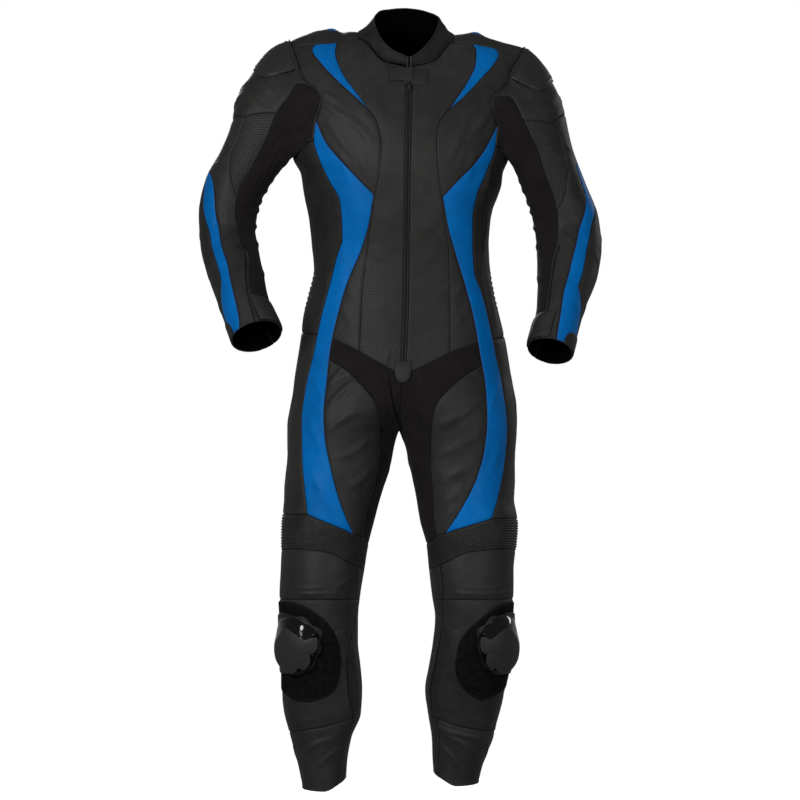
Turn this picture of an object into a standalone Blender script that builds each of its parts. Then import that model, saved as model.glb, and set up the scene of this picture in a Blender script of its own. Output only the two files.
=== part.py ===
"""One-piece motorcycle race suit in its worn form, empty inside.

Sizes are in millimetres until a mesh is made. X is across the body (the wearer's right is -X),
-Y is the front and Z is up. The origin lies between the shoulders, at the base of the neck.

The skin is a body and two sleeves, each a smooth surface given by its sections. A point of the body
is named by its turn in degrees (0 centre front, 90 the outer side, 180 centre back, and on round the
inner leg) and its height. A point of a sleeve is named by its turn (0 front, 90 outer, 180 back,
-90 inner) and its run from the armhole (0) to the cuff (1). Each panel is a grid of such points
between its seams, so that neighbours share their seam's points before the seam gap is cut.
"""
import math

import bmesh
import bpy
import numpy as np

MM = 0.001
WALL = 1.8           # thickness of the leather and the stretch cloth
SEAM_GAP = 0.3       # space between neighbours at a seam
TIP = 1.2            # width left at a panel's pointed end
REST_GAP = 0.6       # space under a piece that lies on a flat part of the skin
CURVED_GAP = 1.1     # the same where the skin is strongly curved, measured from its true curve
ZIP_HALF = 5.0       # half the width of the zip's tape

SIDES = {"right": -1, "left": 1}


def table(names, *rows):
    """Return the columns of a short table by name, with the first column rising."""
    data = np.array(sorted(rows), float)
    return {name: data[:, k] for k, name in enumerate(names.split())}


def smooth(xs, ys, at):
    """Return a cubic curve through the points (xs, ys) that never overshoots them."""
    at = np.clip(np.asarray(at, float), xs[0], xs[-1])
    if len(xs) == 1:
        return np.full_like(at, ys[0])
    step = np.diff(xs)
    rise = np.diff(ys) / step
    slope = np.empty(len(xs))
    slope[0], slope[-1] = rise[0], rise[-1]
    both = rise[:-1] * rise[1:]
    slope[1:-1] = np.where(both > 0, 2 * both / np.where(both > 0, rise[:-1] + rise[1:], 1), 0)
    k = np.clip(np.searchsorted(xs, at, side="right") - 1, 0, len(xs) - 2)
    t = (at - xs[k]) / step[k]
    return ((1 + 2 * t) * (1 - t) ** 2 * ys[k] + t * (1 - t) ** 2 * step[k] * slope[k]
            + t * t * (3 - 2 * t) * ys[k + 1] - t * t * (1 - t) * step[k] * slope[k + 1])


# Outer side line of the body and the leg: distance out from the middle plane, for each side.
OUTER = table(
    "z right left",
    (60, 225, 226), (0, 225, 226), (-60, 222, 218), (-120, 214, 206), (-170, 206, 194),
    (-214, 199, 187), (-239, 186, 177), (-261, 182, 174), (-283, 178, 167), (-304, 173, 159),
    (-326, 169, 155), (-369, 165, 152), (-412, 162, 154), (-455, 171, 160), (-499, 181, 171),
    (-542, 186, 182), (-607, 197, 193), (-650, 202, 200), (-693, 208, 201), (-736, 209, 200),
    (-823, 215, 197), (-866, 219, 204), (-909, 220, 201), (-952, 222, 196), (-995, 224, 196),
    (-1039, 222, 194), (-1082, 220, 194), (-1125, 219, 189), (-1168, 219, 180), (-1211, 215, 171),
    (-1255, 204, 160), (-1298, 192, 142), (-1345, 183, 133), (-1360, 182, 132))

# Inner side line of the leg, below the crotch.
INNER = table(
    "z right left",
    (-702, 9, -9), (-715, 14, -4), (-736, 19, 4), (-758, 23, 7), (-779, 29, 13), (-823, 43, 22),
    (-866, 54, 29), (-909, 65, 41), (-952, 72, 45), (-995, 79, 50), (-1039, 83, 56), (-1082, 83, 52),
    (-1125, 79, 45), (-1168, 76, 38), (-1211, 78, 43), (-1255, 95, 50), (-1298, 103, 52),
    (-1345, 106, 56), (-1360, 107, 57))

# Centre front and centre back line: how far it leans off the middle plane.
CENTRE = table("z x", (60, 8), (-50, 9), (-300, 5), (-468, 3), (-578, -1), (-702, -9))

# Where the section's middle lies, and its depth in front of it and behind it.
DEPTH = table(
    "z middle front back",
    (60, 12, 80, 92), (0, 10, 92, 102), (-60, 5, 106, 114), (-150, 0, 124, 124), (-214, 0, 130, 124),
    (-300, 0, 120, 112), (-400, 2, 106, 102), (-470, 5, 108, 114), (-560, 8, 118, 130),
    (-650, 8, 122, 134), (-736, 5, 110, 116), (-823, -2, 100, 98), (-909, -10, 90, 86),
    (-995, -15, 84, 78), (-1082, -6, 80, 76), (-1168, 12, 72, 74), (-1255, 25, 62, 62),
    (-1345, 34, 52, 50), (-1360, 35, 51, 49))

# The shoulder closes over the top: height of its ridge, and how far below it the section is full.
RIDGE = table(
    "out right left back_right back_left reach",
    (0, 8, 8, 46, 46, 200), (50, 10, 9, 38, 38, 196), (80, 15, 10, 17, 14, 190),
    (116, 16, 11, 16, 11, 160), (150, 17, 4, 17, 4, 120), (180, 9, -4, 9, -4, 104),
    (207, -2, -11, -2, -11, 92),
    (235, -16, -20, -16, -20, 80))

FORK_TOP = -603.0      # height where the front starts to part into two legs
SEAT_TOP = -590.0      # the same at the back
FORK = -702.0          # height of the crotch

# Sleeve sections from the armhole (run 0) to the cuff (run 1): the outer and the inner point,
# the middle's y, half the depth and how far the front of the section is lifted.
SLEEVE = {
    "right": table(
        "run out_x out_z in_x in_z middle depth lift",
        (0.00, 207, -2, 201, -214, 2, 78, 0), (0.08, 237, -17, 205, -219, 2, 76, 0),
        (0.18, 275, -60, 214, -228, 2, 72, 0), (0.26, 299, -100, 224, -238, 2, 68, 0),
        (0.36, 312, -156, 238, -254, 3, 63, 0), (0.42, 330, -198, 246, -266, 4, 61, 0),
        (0.52, 357, -250, 261, -296, 8, 58, 0), (0.62, 369, -315, 268, -337, 9, 56, 4),
        (0.72, 366, -370, 263, -377, -8, 54, 14), (0.82, 351, -425, 253, -425, -40, 50, 23),
        (0.92, 331, -480, 242, -475, -80, 46, 26), (1.00, 309, -541, 220, -524, -120, 38, 26)),
    "left": table(
        "run out_x out_z in_x in_z middle depth lift",
        (0.00, 216, -14, 187, -214, 2, 78, 0), (0.08, 233, -29, 190, -221, 2, 76, 0),
        (0.18, 261, -65, 196, -231, 2, 72, 0), (0.30, 284, -112, 204, -245, 2, 66, 0),
        (0.42, 302, -190, 213, -266, 4, 61, 0), (0.52, 327, -258, 226, -298, 8, 58, 0),
        (0.62, 349, -318, 236, -340, 9, 56, 4), (0.72, 355, -375, 240, -382, -8, 54, 14),
        (0.82, 346, -430, 240, -434, -40, 50, 22), (0.92, 323, -486, 238, -486, -80, 46, 22),
        (1.00, 302, -565, 222, -553, -120, 36, 22)),
}

# Seams of the front, as their height and their distance out from the middle plane.
SEAMS = {
    "right": {
        "princess": table("z out", (-4, 120), (-22, 123), (-56, 112), (-94, 86), (-125, 64), (-148, 49),
                          (-186, 42), (-230, 44), (-279, 53), (-333, 61), (-380, 67), (-450, 76),
                          (-518, 79), (-560, 81)),
        "crescent": table("z out", (-7, 166), (-14, 166), (-38, 153), (-72, 122), (-104, 87),
                          (-125, 64 + TIP)),
        "armhole": table("z out", (-12, 201), (-45, 190), (-68, 182), (-88, 160), (-108, 149),
                         (-125, 152), (-146, 158)),
        "blue_in": table("z out", (-146, 158), (-184, 141), (-221, 110), (-254, 79), (-279, 53 + TIP),
                         (-336, 64), (-383, 79), (-432, 100), (-491, 118), (-553, 132), (-626, 140),
                         (-671, 144), (-713, 142), (-770, 131), (-832, 114), (-889, 90)),
        "blue_out": table("z out", (-146, 158 + TIP), (-180, 163), (-218, 152), (-254, 135),
                          (-288, 117), (-322, 113), (-356, 112), (-391, 122), (-443, 135), (-498, 150),
                          (-562, 163), (-632, 179), (-684, 185), (-749, 184), (-810, 179), (-853, 174)),
        "stretch": table("z out", (-576, 134.7 - TIP), (-590, 108), (-617, 79), (-639, 59), (-664, 49),
                         (-697, 41), (-729, 39), (-794, 50), (-857, 67), (-893, 72)),
    },
    "left": {
        "princess": table("z out", (-6, 122), (-18, 129), (-41, 128), (-76, 113), (-104, 95),
                          (-125, 81), (-148, 64), (-176, 59), (-228, 61), (-283, 68), (-346, 76),
                          (-380, 81), (-450, 83), (-562, 83)),
        "crescent": table("z out", (-14, 168), (-26, 171), (-41, 164), (-72, 137), (-101, 110),
                          (-125, 81 + TIP)),
        "armhole": table("z out", (-26, 211), (-45, 198), (-62, 190), (-76, 188), (-90, 174),
                         (-104, 159), (-118, 158), (-140, 163), (-155, 167)),
        "blue_in": table("z out", (-155, 167), (-180, 155), (-218, 131), (-254, 96), (-283, 68 + TIP),
                         (-338, 79), (-387, 93), (-443, 110), (-504, 126), (-562, 136), (-632, 147),
                         (-684, 149), (-736, 144), (-787, 130), (-839, 104), (-887, 73)),
        "blue_out": table("z out", (-155, 167 + TIP), (-190, 165), (-239, 148), (-281, 131),
                          (-322, 124), (-367, 124), (-418, 127), (-454, 140), (-504, 153), (-558, 164),
                          (-626, 178), (-697, 186), (-761, 181), (-819, 170), (-860, 158)),
        "stretch": table("z out", (-585, 139.5 - TIP), (-607, 104), (-630, 78), (-648, 62), (-675, 52),
                         (-704, 48), (-761, 46), (-810, 50), (-857, 52), (-893, 58)),
    },
}

# Rows of the body grid that are seams, from the shoulder down.
TOP, CRESCENT_END, BLUE_TOP, UNDERARM, CORNER = 0, 4, 5, 6, 9
WAIST_V, THIGH_TOP, CROTCH = 15, 16, 19
KNEE_TOP, KNEE_LOW, KNEE_SEAM, SHIN_LOW, HEM = 25, 28, 30, 37, 39
BACK_TOP = 3           # first row of the back panel, at the yoke's seam

# Height of each seam where it crosses those rows.
ROW_HEIGHTS = {
    "right": {
        "centre": ((0, -47), (4, -125), (5, -150), (6, -182), (9, -279), (15, -603), (16, -632),
                   (19, -702), (25, -905)),
        "princess": ((0, -4), (4, -125), (5, -150), (6, -182), (9, -279), (15, -560)),
        "crescent": ((0, -7), (4, -125)),
        "armhole": ((0, -12), (4, -122), (5, -146)),
        "blue_in": ((5, -146), (6, -184), (9, -279), (15, -536), (16, -576), (19, -650), (25, -889)),
        "blue_out": ((5, -146), (6, -180), (9, -286), (15, -530), (16, -568), (19, -645), (25, -853)),
        "stretch": ((16, -576), (19, -660), (25, -893)),
        "side_back": ((6, -200), (9, -290), (15, -522), (16, -560), (19, -640), (25, -851)),
        "back": ((3, -100), (6, -200), (9, -290), (15, -560), (16, -590), (19, -702), (25, -905)),
    },
    "left": {
        "centre": ((0, -47), (4, -125), (5, -152), (6, -185), (9, -283), (15, -603), (16, -632),
                   (19, -702), (25, -905)),
        "princess": ((0, -6), (4, -125), (5, -152), (6, -185), (9, -283), (15, -562)),
        "crescent": ((0, -14), (4, -125)),
        "armhole": ((0, -26), (4, -128), (5, -155)),
        "blue_in": ((5, -155), (6, -188), (9, -283), (15, -544), (16, -585), (19, -656), (25, -887)),
        "blue_out": ((5, -155), (6, -190), (9, -288), (15, -538), (16, -577), (19, -650), (25, -860)),
        "stretch": ((16, -585), (19, -664), (25, -893)),
        "side_back": ((6, -200), (9, -290), (15, -528), (16, -567), (19, -645), (25, -862)),
        "back": ((3, -100), (6, -200), (9, -290), (15, -560), (16, -590), (19, -702), (25, -905)),
    },
}

# Heights of the lower leg's seams round the leg, front from the inner to the outer side.
SHIN_ROWS = table(
    "turn low seam shin hem",
    (-88, -955, -1006, -1212, -1324), (-45, -942, -1006, -1222, -1338), (0, -919, -1005, -1236, -1352),
    (55, -914, -1005, -1243, -1349), (110, -920, -1004, -1245, -1342))
CALF_ROWS = table(
    "turn low seam shin hem",
    (110, -920, -1004, -1245, -1342), (190, -925, -1004, -1240, -1346), (272, -955, -1006, -1212, -1324))
HEM_RISE = {"right": 0.0, "left": 10.0}     # how much higher the hem of each leg ends
LEG_BACK_TURN = 110.0    # where the side and outer thigh panels end, behind the side line
INNER_TURN = -88.0       # inner seam of the leg
BACK_ARMHOLE = {
    "right": table("z out", (0, 204), (-25, 197), (-60, 189), (-100, 183), (-130, 182), (-165, 184),
                   (-200, 188)),
    "left": table("z out", (0, 214), (-25, 205), (-60, 193), (-100, 183), (-130, 178), (-165, 175),
                  (-200, 174)),
}

YOKE_EDGE = (-25, -60)   # heights of the yoke's points between the ridge and its back seam

# Neckline: the points of half of it from the front, as distance out and height, on the front first.
NECK_BACK = 16.0         # height of the neckline at centre back
NECK_BACK_X = 8.0
NECK_BACK_N = 7
NECK_FRONT = {"right": ((37, -34), (80, 3)), "left": ((54, -34), (88, -4))}


# --- the smooth surfaces ---------------------------------------------------------------------------

def closure(side, out, z, behind):
    """Return how full the section is near the shoulder's ridge: 0 on the ridge, 1 well below it."""
    name = ("back_" if behind else "") + side
    top = smooth(RIDGE["out"], RIDGE[name], np.abs(out))
    reach = smooth(RIDGE["out"], RIDGE["reach"], np.abs(out))
    low = np.clip((top - z) / reach, 0, 1)
    return np.sqrt(1 - (1 - low) ** 2)


def body(side, turn, z):
    """Return the body's points for turns in degrees and heights, as an array of xyz in millimetres.

    Above the crotch the section is half an ellipse from the centre line. Towards the crotch it
    closes further round, and below it becomes the leg's whole ellipse."""
    sign = SIDES[side]
    turn = np.asarray(turn, float)
    z = np.asarray(z, float) + 0 * turn
    angle = np.radians(turn)
    behind = np.cos(angle) < 0
    outer = smooth(OUTER["z"], OUTER[side], z)
    inner = np.where(z > FORK, sign * smooth(CENTRE["z"], CENTRE["x"], z),
                     smooth(INNER["z"], INNER[side], z))
    start = np.where(behind, SEAT_TOP, FORK_TOP)
    fork = np.clip((start - z) / (start - FORK), 0, 1)
    half = (outer - inner) / (1 + fork)
    out = outer - half + half * np.sin(angle)
    depth = np.where(behind, smooth(DEPTH["z"], DEPTH["back"], z), smooth(DEPTH["z"], DEPTH["front"], z))
    full = np.where(behind, closure(side, out, z, True), closure(side, out, z, False))
    y = smooth(DEPTH["z"], DEPTH["middle"], z) - depth * full * np.cos(angle)
    return np.stack([sign * out, y, z], -1)


def turn_at(side, out, z, behind=False):
    """Return the turn at which the body is a distance out from the middle plane, at a height."""
    sign = SIDES[side]
    outer = float(smooth(OUTER["z"], OUTER[side], z))
    if z > FORK:
        inner = sign * float(smooth(CENTRE["z"], CENTRE["x"], z))
    else:
        inner = float(smooth(INNER["z"], INNER[side], z))
    start = SEAT_TOP if behind else FORK_TOP
    fork = min(max((start - z) / (start - FORK), 0), 1)
    half = (outer - inner) / (1 + fork)
    turn = math.degrees(math.asin(min(max((out - outer + half) / half, -1), 1)))
    return 180 - turn if behind else turn


def row_height(side, seam, row):
    """Return a seam's height on a row of the grid."""
    keys = ROW_HEIGHTS[side][seam]
    return float(np.interp(row, [k[0] for k in keys], [k[1] for k in keys]))


def at_seam(side, seam, row):
    """Return the turn and height of a front seam on a row."""
    z = row_height(side, seam, row)
    line = SEAMS[side][seam]
    return turn_at(side, float(smooth(line["z"], line["out"], z)), z), z


def at_centre(side, row, off=0.0):
    """Return the turn and height of the centre front line, and below the crotch the inner seam."""
    z = row_height(side, "centre", row)
    if row < CROTCH:
        if z < FORK_TOP:
            fork = (FORK_TOP - z) / (FORK_TOP - FORK)
            return -math.degrees(math.asin(fork)), z
        return turn_at(side, SIDES[side] * float(smooth(CENTRE["z"], CENTRE["x"], z)) + off, z), z
    blend = (row - CROTCH) / (KNEE_TOP - CROTCH)
    return -90 + (INNER_TURN + 90) * blend, z


def at_zip(side, row):
    """Return the turn and height of the zip's edge. At its foot it lies on the crotch panel's edge."""
    turn, z = at_centre(side, row, ZIP_HALF)
    if row < WAIST_V:
        return turn, z
    middle, princess = at_centre(side, row), at_seam(side, "princess", row)
    return turn, z + (princess[1] - middle[1]) * (turn - middle[0]) / (princess[0] - middle[0])


def at_side_back(side, row):
    """Return the turn and height of the side panel's back seam."""
    if row < UNDERARM:
        z = row_height(side, "back", row)
        line = BACK_ARMHOLE[side]
        return turn_at(side, float(smooth(line["z"], line["out"], z)), z, True), z
    z = row_height(side, "side_back", row)
    if row == UNDERARM:
        return turn_at(side, float(BACK_ARMHOLE[side]["out"][0]), z, True), z
    blend = min((row - UNDERARM) / (WAIST_V - UNDERARM), 1)
    first = turn_at(side, float(BACK_ARMHOLE[side]["out"][0]), row_height(side, "side_back", UNDERARM), True)
    return first + (LEG_BACK_TURN - first) * blend, z


def at_back(side, row):
    """Return the turn and height of the centre back line, and below the crotch the inner seam."""
    z = row_height(side, "back", row)
    if row < CROTCH:
        fork = max((SEAT_TOP - z) / (SEAT_TOP - FORK), 0)
        return 180 + math.degrees(math.asin(min(fork, 1))), z
    blend = (row - CROTCH) / (KNEE_TOP - CROTCH)
    return 270 + (INNER_TURN + 90) * blend, z


def between(start, end, count, bend=1.0):
    """Return count + 1 points from start to end. A bend over 1 keeps the first ones level."""
    steps = [k / count for k in range(count + 1)]
    return [(start[0] + (end[0] - start[0]) * t, start[1] + (end[1] - start[1]) * t ** bend) for t in steps]


def lower_row(side, row, kind, count):
    """Return one row of the lower leg, front or back, on even turns from seam to seam."""
    rows = SHIN_ROWS if kind == "front" else CALF_ROWS
    names = ("low", "seam", "shin", "hem")
    stops = (KNEE_LOW, KNEE_SEAM, SHIN_LOW, HEM)
    turns = np.linspace(rows["turn"][0], rows["turn"][-1], count + 1)
    heights = [smooth(rows["turn"], rows[name], turns) for name in names]
    heights[-1] = heights[-1] + HEM_RISE[side]
    z = [float(np.interp(row, stops, [h[k] for h in heights])) for k in range(count + 1)]
    return list(zip(turns, z))


FRONT_N, CRESCENT_N, CHEST_N, BELLY_N, BLUE_N, SIDE_N, THIGH_N, BACK_N = 3, 1, 2, 2, 2, 3, 2, 4
STRETCH_N = FRONT_N + BELLY_N
SHIN_N = STRETCH_N + THIGH_N + BLUE_N + SIDE_N
YOKE_N = 1 + CRESCENT_N + CHEST_N


def front_centre_row(side, row):
    """Return a row of the centre front panel. The first one runs along the neckline."""
    first = at_zip(side, row)
    if row == WAIST_V:
        return [first] + stretch_row(side, row)[1:FRONT_N + 1]
    even = between(first, at_seam(side, "princess", row), FRONT_N)
    if row > 1:
        return even
    neck = [first] + [(turn_at(side, out, z), z) for out, z in NECK_FRONT[side]]
    neck.append(at_seam(side, "princess", TOP))
    if row == TOP:
        return neck
    inside = [((2 * e[0] + n[0]) / 3, (3 * e[1] + n[1]) / 4) for e, n in zip(even, neck)][1:-1]
    return [even[0]] + inside + [even[-1]]


def stretch_row(side, row):
    """Return a row of the stretch panel over the crotch and the inner thigh."""
    start = at_centre(side, row)
    fork = min(max((FORK_TOP - start[1]) / (FORK_TOP - FORK), 0), 1)
    if row == WAIST_V:
        middle = at_seam(side, "princess", row)
        end = at_seam(side, "blue_in", row)
        return between(start, middle, FRONT_N)[:-1] + between(middle, end, BELLY_N)
    return between(start, at_seam(side, "stretch", row), STRETCH_N, 1 + fork)


def body_panels(side):
    """Return the body panels of one side, each as a list of rows of turns and heights."""
    seam = lambda name, row: at_seam(side, name, row)
    knee_edge = (stretch_row(side, KNEE_TOP)[:-1]
                 + between(seam("stretch", KNEE_TOP), seam("blue_in", KNEE_TOP), THIGH_N)[:-1]
                 + between(seam("blue_in", KNEE_TOP), seam("blue_out", KNEE_TOP), BLUE_N)[:-1]
                 + between(seam("blue_out", KNEE_TOP), at_side_back(side, KNEE_TOP), SIDE_N))
    low_edge = lower_row(side, KNEE_LOW, "front", SHIN_N)
    accordion = [[(a[0] + (b[0] - a[0]) * t, a[1] + (b[1] - a[1]) * t) for a, b in zip(knee_edge, low_edge)]
                 for t in (0, 1 / 3, 2 / 3, 1)]
    seat_edge = between(at_side_back(side, KNEE_TOP), at_back(side, KNEE_TOP), BACK_N)
    calf_top = lower_row(side, KNEE_LOW, "back", BACK_N)
    calf = [[(a[0] + (b[0] - a[0]) * t, a[1] + (b[1] - a[1]) * t) for a, b in zip(seat_edge, calf_top)]
            for t in (0, 1 / 3, 2 / 3)]
    calf += [lower_row(side, row, "back", BACK_N) for row in range(KNEE_LOW, HEM + 1)]
    chest = [between(seam("crescent", row), seam("armhole", row), CHEST_N) for row in range(CRESCENT_END)]
    chest += [between(seam("princess", row), seam("armhole", row), CHEST_N)
              for row in range(CRESCENT_END, UNDERARM)]
    chest[CRESCENT_END] = between(seam("crescent", CRESCENT_END), seam("armhole", CRESCENT_END), CHEST_N)
    chest += [between(seam("princess", row), seam("blue_in", row), CHEST_N)
              for row in range(UNDERARM, CORNER + 1)]
    return {
        "front_centre": [front_centre_row(side, row) for row in range(TOP, WAIST_V + 1)],
        "crescent": [between(seam("princess", row), seam("crescent", row), CRESCENT_N)
                     for row in range(TOP, CRESCENT_END + 1)],
        "chest": chest,
        "belly": [between(seam("princess", row), seam("blue_in", row), BELLY_N)
                  for row in range(CORNER, WAIST_V + 1)],
        "blue_side": [between(seam("blue_in", row), seam("blue_out", row), BLUE_N)
                      for row in range(BLUE_TOP, KNEE_TOP + 1)],
        "side": [between(seam("blue_out", row), at_side_back(side, row), SIDE_N)
                 for row in range(UNDERARM, WAIST_V + 1)],
        "outer_thigh": [between(seam("blue_out", row), at_side_back(side, row), SIDE_N)
                        for row in range(WAIST_V, KNEE_TOP + 1)],
        "stretch": [stretch_row(side, row) for row in range(WAIST_V, KNEE_TOP + 1)],
        "thigh": [between(seam("stretch", row), seam("blue_in", row), THIGH_N)
                  for row in range(THIGH_TOP, KNEE_TOP + 1)],
        "accordion": accordion,
        "knee": [lower_row(side, row, "front", SHIN_N) for row in range(KNEE_LOW, KNEE_SEAM + 1)],
        "shin": [lower_row(side, row, "front", SHIN_N) for row in range(KNEE_SEAM, SHIN_LOW + 1)],
        "ankle": [lower_row(side, row, "front", SHIN_N) for row in range(SHIN_LOW, HEM + 1)],
        "seat": [between(at_side_back(side, row), at_back(side, row), BACK_N)
                 for row in range(WAIST_V, KNEE_TOP + 1)],
        "calf": calf,
    }


def armhole_loop(side):
    """Return the armhole's points, from the shoulder's ridge down the front and up the back."""
    points = [ridge_point(side, float(BACK_ARMHOLE[side]["out"][-1]))]
    points += [body(side, *at_seam(side, "armhole", row)) for row in range(TOP, BLUE_TOP)]
    points.append(body(side, *at_seam(side, "blue_out", BLUE_TOP)))
    under = between(at_seam(side, "blue_out", UNDERARM), at_side_back(side, UNDERARM), SIDE_N)
    points += [body(side, *p) for p in under]
    points += [body(side, *at_side_back(side, row)) for row in range(BLUE_TOP, BACK_TOP - 1, -1)]
    points += [back_edge_point(side, z) for z in YOKE_EDGE[::-1]]
    return np.array(points)


def ridge_point(side, out):
    """Return a point on the shoulder's ridge."""
    z = float(smooth(RIDGE["out"], RIDGE[side], out))
    return np.array([SIDES[side] * out, float(smooth(DEPTH["z"], DEPTH["middle"], z)), z])


def back_edge_point(side, z):
    """Return a point of the armhole's back edge."""
    line = BACK_ARMHOLE[side]
    return body(side, turn_at(side, float(smooth(line["z"], line["out"], z)), z, True), z)


def neck_points(side):
    """Return the neckline's points behind the front ones, from the shoulder's ridge to centre back."""
    half = NECK_FRONT[side][1][0]
    points = [ridge_point(side, half)]
    middle = SIDES[side] * NECK_BACK_X
    for k in range(1, NECK_BACK_N + 1):
        angle = math.radians(90 * k / NECK_BACK_N)
        out = middle + (half - middle) * math.cos(angle)
        z = points[0][2] + (NECK_BACK - points[0][2]) * math.sin(angle)
        points.append(body(side, turn_at(side, out, z, True), z))
    return np.array(points)


def yoke_half(side):
    """Return half of the yoke: rows from the front seam round to centre back, columns inwards."""
    top = front_centre_row(side, TOP)
    front = (between(at_seam(side, "crescent", TOP), at_seam(side, "armhole", TOP), CHEST_N)[::-1]
             + [at_seam(side, "princess", TOP), top[2]])
    rows = [[body(side, *p) for p in front]]
    neck = neck_points(side)
    tip = float(BACK_ARMHOLE[side]["out"][-1])
    rows.append([ridge_point(side, tip + (NECK_FRONT[side][1][0] - tip) * t)
                 for t in np.linspace(0, 1, YOKE_N + 1)])
    low = [body(side, *p) for p in between(at_side_back(side, BACK_TOP), at_back(side, BACK_TOP), BACK_N)]
    edge = [back_edge_point(side, z) for z in YOKE_EDGE] + low
    for outer, inner in zip(edge, neck[1:]):
        row = [outer]
        for t in np.linspace(0, 1, YOKE_N + 1)[1:-1]:
            flat = outer + (inner - outer) * t
            out = SIDES[side] * flat[0]
            row.append(body(side, turn_at(side, out, flat[2], True), flat[2]))
        rows.append(row + [inner])
    return np.array(rows)


# --- the sleeves -----------------------------------------------------------------------------------

UPPER_END, STRIPE_TOP, GRID_END, CUFF_ROW = 4, 6, 8, 13
LOOP_N = 16
ARM_STRETCH_N, GRID_N, FORE_N, ELBOW_N, STRIPE_N = 6, 2, 2, 6, 1

# Sleeve seams: the turn at which each lies, for its runs.
SLEEVE_SEAMS = {
    "right": {
        "stretch": table("run turn", (0, 0), (0.06, 11), (0.093, 11), (0.16, 4), (0.267, -11),
                         (0.384, -13), (0.479, -10), (0.554, -14), (0.642, -23), (0.748, -27),
                         (0.858, -21), (0.949, -13), (1.0, -6)),
        "grid": table("run turn", (0.285, 37), (0.35, 40), (0.40, 41), (0.44, 30), (0.484, 10), (0.53, -11)),
        "stripe_in": table("run turn", (0.33, 84), (0.488, 86), (0.50, 62), (0.523, 45), (0.587, 27),
                           (0.673, 17), (0.808, 17), (0.907, 21), (0.976, 30), (1.0, 34)),
        "stripe_out": table("run turn", (0.33, 85), (0.488, 87), (0.53, 82), (0.562, 71), (0.707, 41),
                            (0.826, 43), (0.893, 47), (0.94, 56), (1.0, 64)),
    },
    "left": {
        "stretch": table("run turn", (0, 0), (0.03, 6), (0.066, 10), (0.132, 5), (0.17, 0), (0.288, -9),
                         (0.432, -9), (0.532, -10), (0.611, -17), (0.707, -25), (0.812, -37),
                         (0.952, -40), (1.0, -40)),
        "grid": table("run turn", (0.315, 30), (0.40, 49), (0.447, 46), (0.492, 27), (0.554, 1), (0.57, -12)),
        "stripe_in": table("run turn", (0.33, 84), (0.45, 86), (0.478, 66), (0.543, 59), (0.60, 38),
                           (0.663, 19), (0.78, 7), (0.891, 4), (1.0, 5)),
        "stripe_out": table("run turn", (0.33, 85), (0.45, 87), (0.50, 86), (0.572, 82), (0.652, 48),
                            (0.758, 34), (0.872, 32), (0.936, 45), (0.984, 57), (1.0, 60)),
    },
}
# Run at which each seam crosses the sleeve's rows.
SLEEVE_ROWS = {
    "right": {"stretch": ((0, 0), (1, 0.065), (4, 0.17), (8, 0.53), (13, 1)), "grid": ((4, 0.285), (8, 0.53)),
              "stripe": ((4, 0.34), (6, 0.488), (8, 0.587), (13, 1)), "back": ((0, 0), (4, 0.33), (13, 1))},
    "left": {"stretch": ((0, 0), (1, 0.065), (4, 0.18), (8, 0.57), (13, 1)), "grid": ((4, 0.315), (8, 0.57)),
             "stripe": ((4, 0.34), (6, 0.45), (8, 0.60), (13, 1)), "back": ((0, 0), (4, 0.33), (13, 1))},
}
ARM_BACK_TURN = -135.0   # back seam of the stretch panel inside the arm
FADE_RUN = 0.4           # run over which the sleeve leaves the armhole's own shape


def sleeve(side, turn, run, loop=None):
    """Return the sleeve's points. Near the armhole they run into the armhole's own loop of points."""
    sections = SLEEVE[side]
    turn = np.asarray(turn, float)
    run = np.asarray(run, float) + 0 * turn
    value = {name: smooth(sections["run"], sections[name], run) for name in sections}
    angle = np.radians(turn)
    reach_x = (value["out_x"] - value["in_x"]) / 2
    reach_z = (value["out_z"] - value["in_z"]) / 2
    out = (value["out_x"] + value["in_x"]) / 2 + reach_x * np.sin(angle)
    z = (value["out_z"] + value["in_z"]) / 2 + reach_z * np.sin(angle) + value["lift"] * np.cos(angle)
    points = np.stack([SIDES[side] * out, value["middle"] - value["depth"] * np.cos(angle), z], -1)
    if loop is None:
        return points
    place = ((90 - turn) % 360) / 360 * LOOP_N
    k = np.floor(place).astype(int) % LOOP_N
    t = (place - np.floor(place))[..., None]
    edge = loop[k] * (1 - t) + loop[(k + 1) % LOOP_N] * t
    fade = (np.clip(1 - run / FADE_RUN, 0, 1) ** 2)[..., None]
    return points + fade * (edge - sleeve(side, turn, np.zeros_like(run)))


def at_sleeve(side, seam, row):
    """Return the turn and run of a sleeve seam on a row. The back seam is given from behind."""
    keys = SLEEVE_ROWS[side][seam.split("_")[0]]
    run = float(np.interp(row, [k[0] for k in keys], [k[1] for k in keys]))
    if seam == "back":
        return ARM_BACK_TURN, run
    if seam == "back_far":
        return ARM_BACK_TURN + 360, run
    line = SLEEVE_SEAMS[side][seam]
    return float(smooth(line["run"], line["turn"], run)), run


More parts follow.
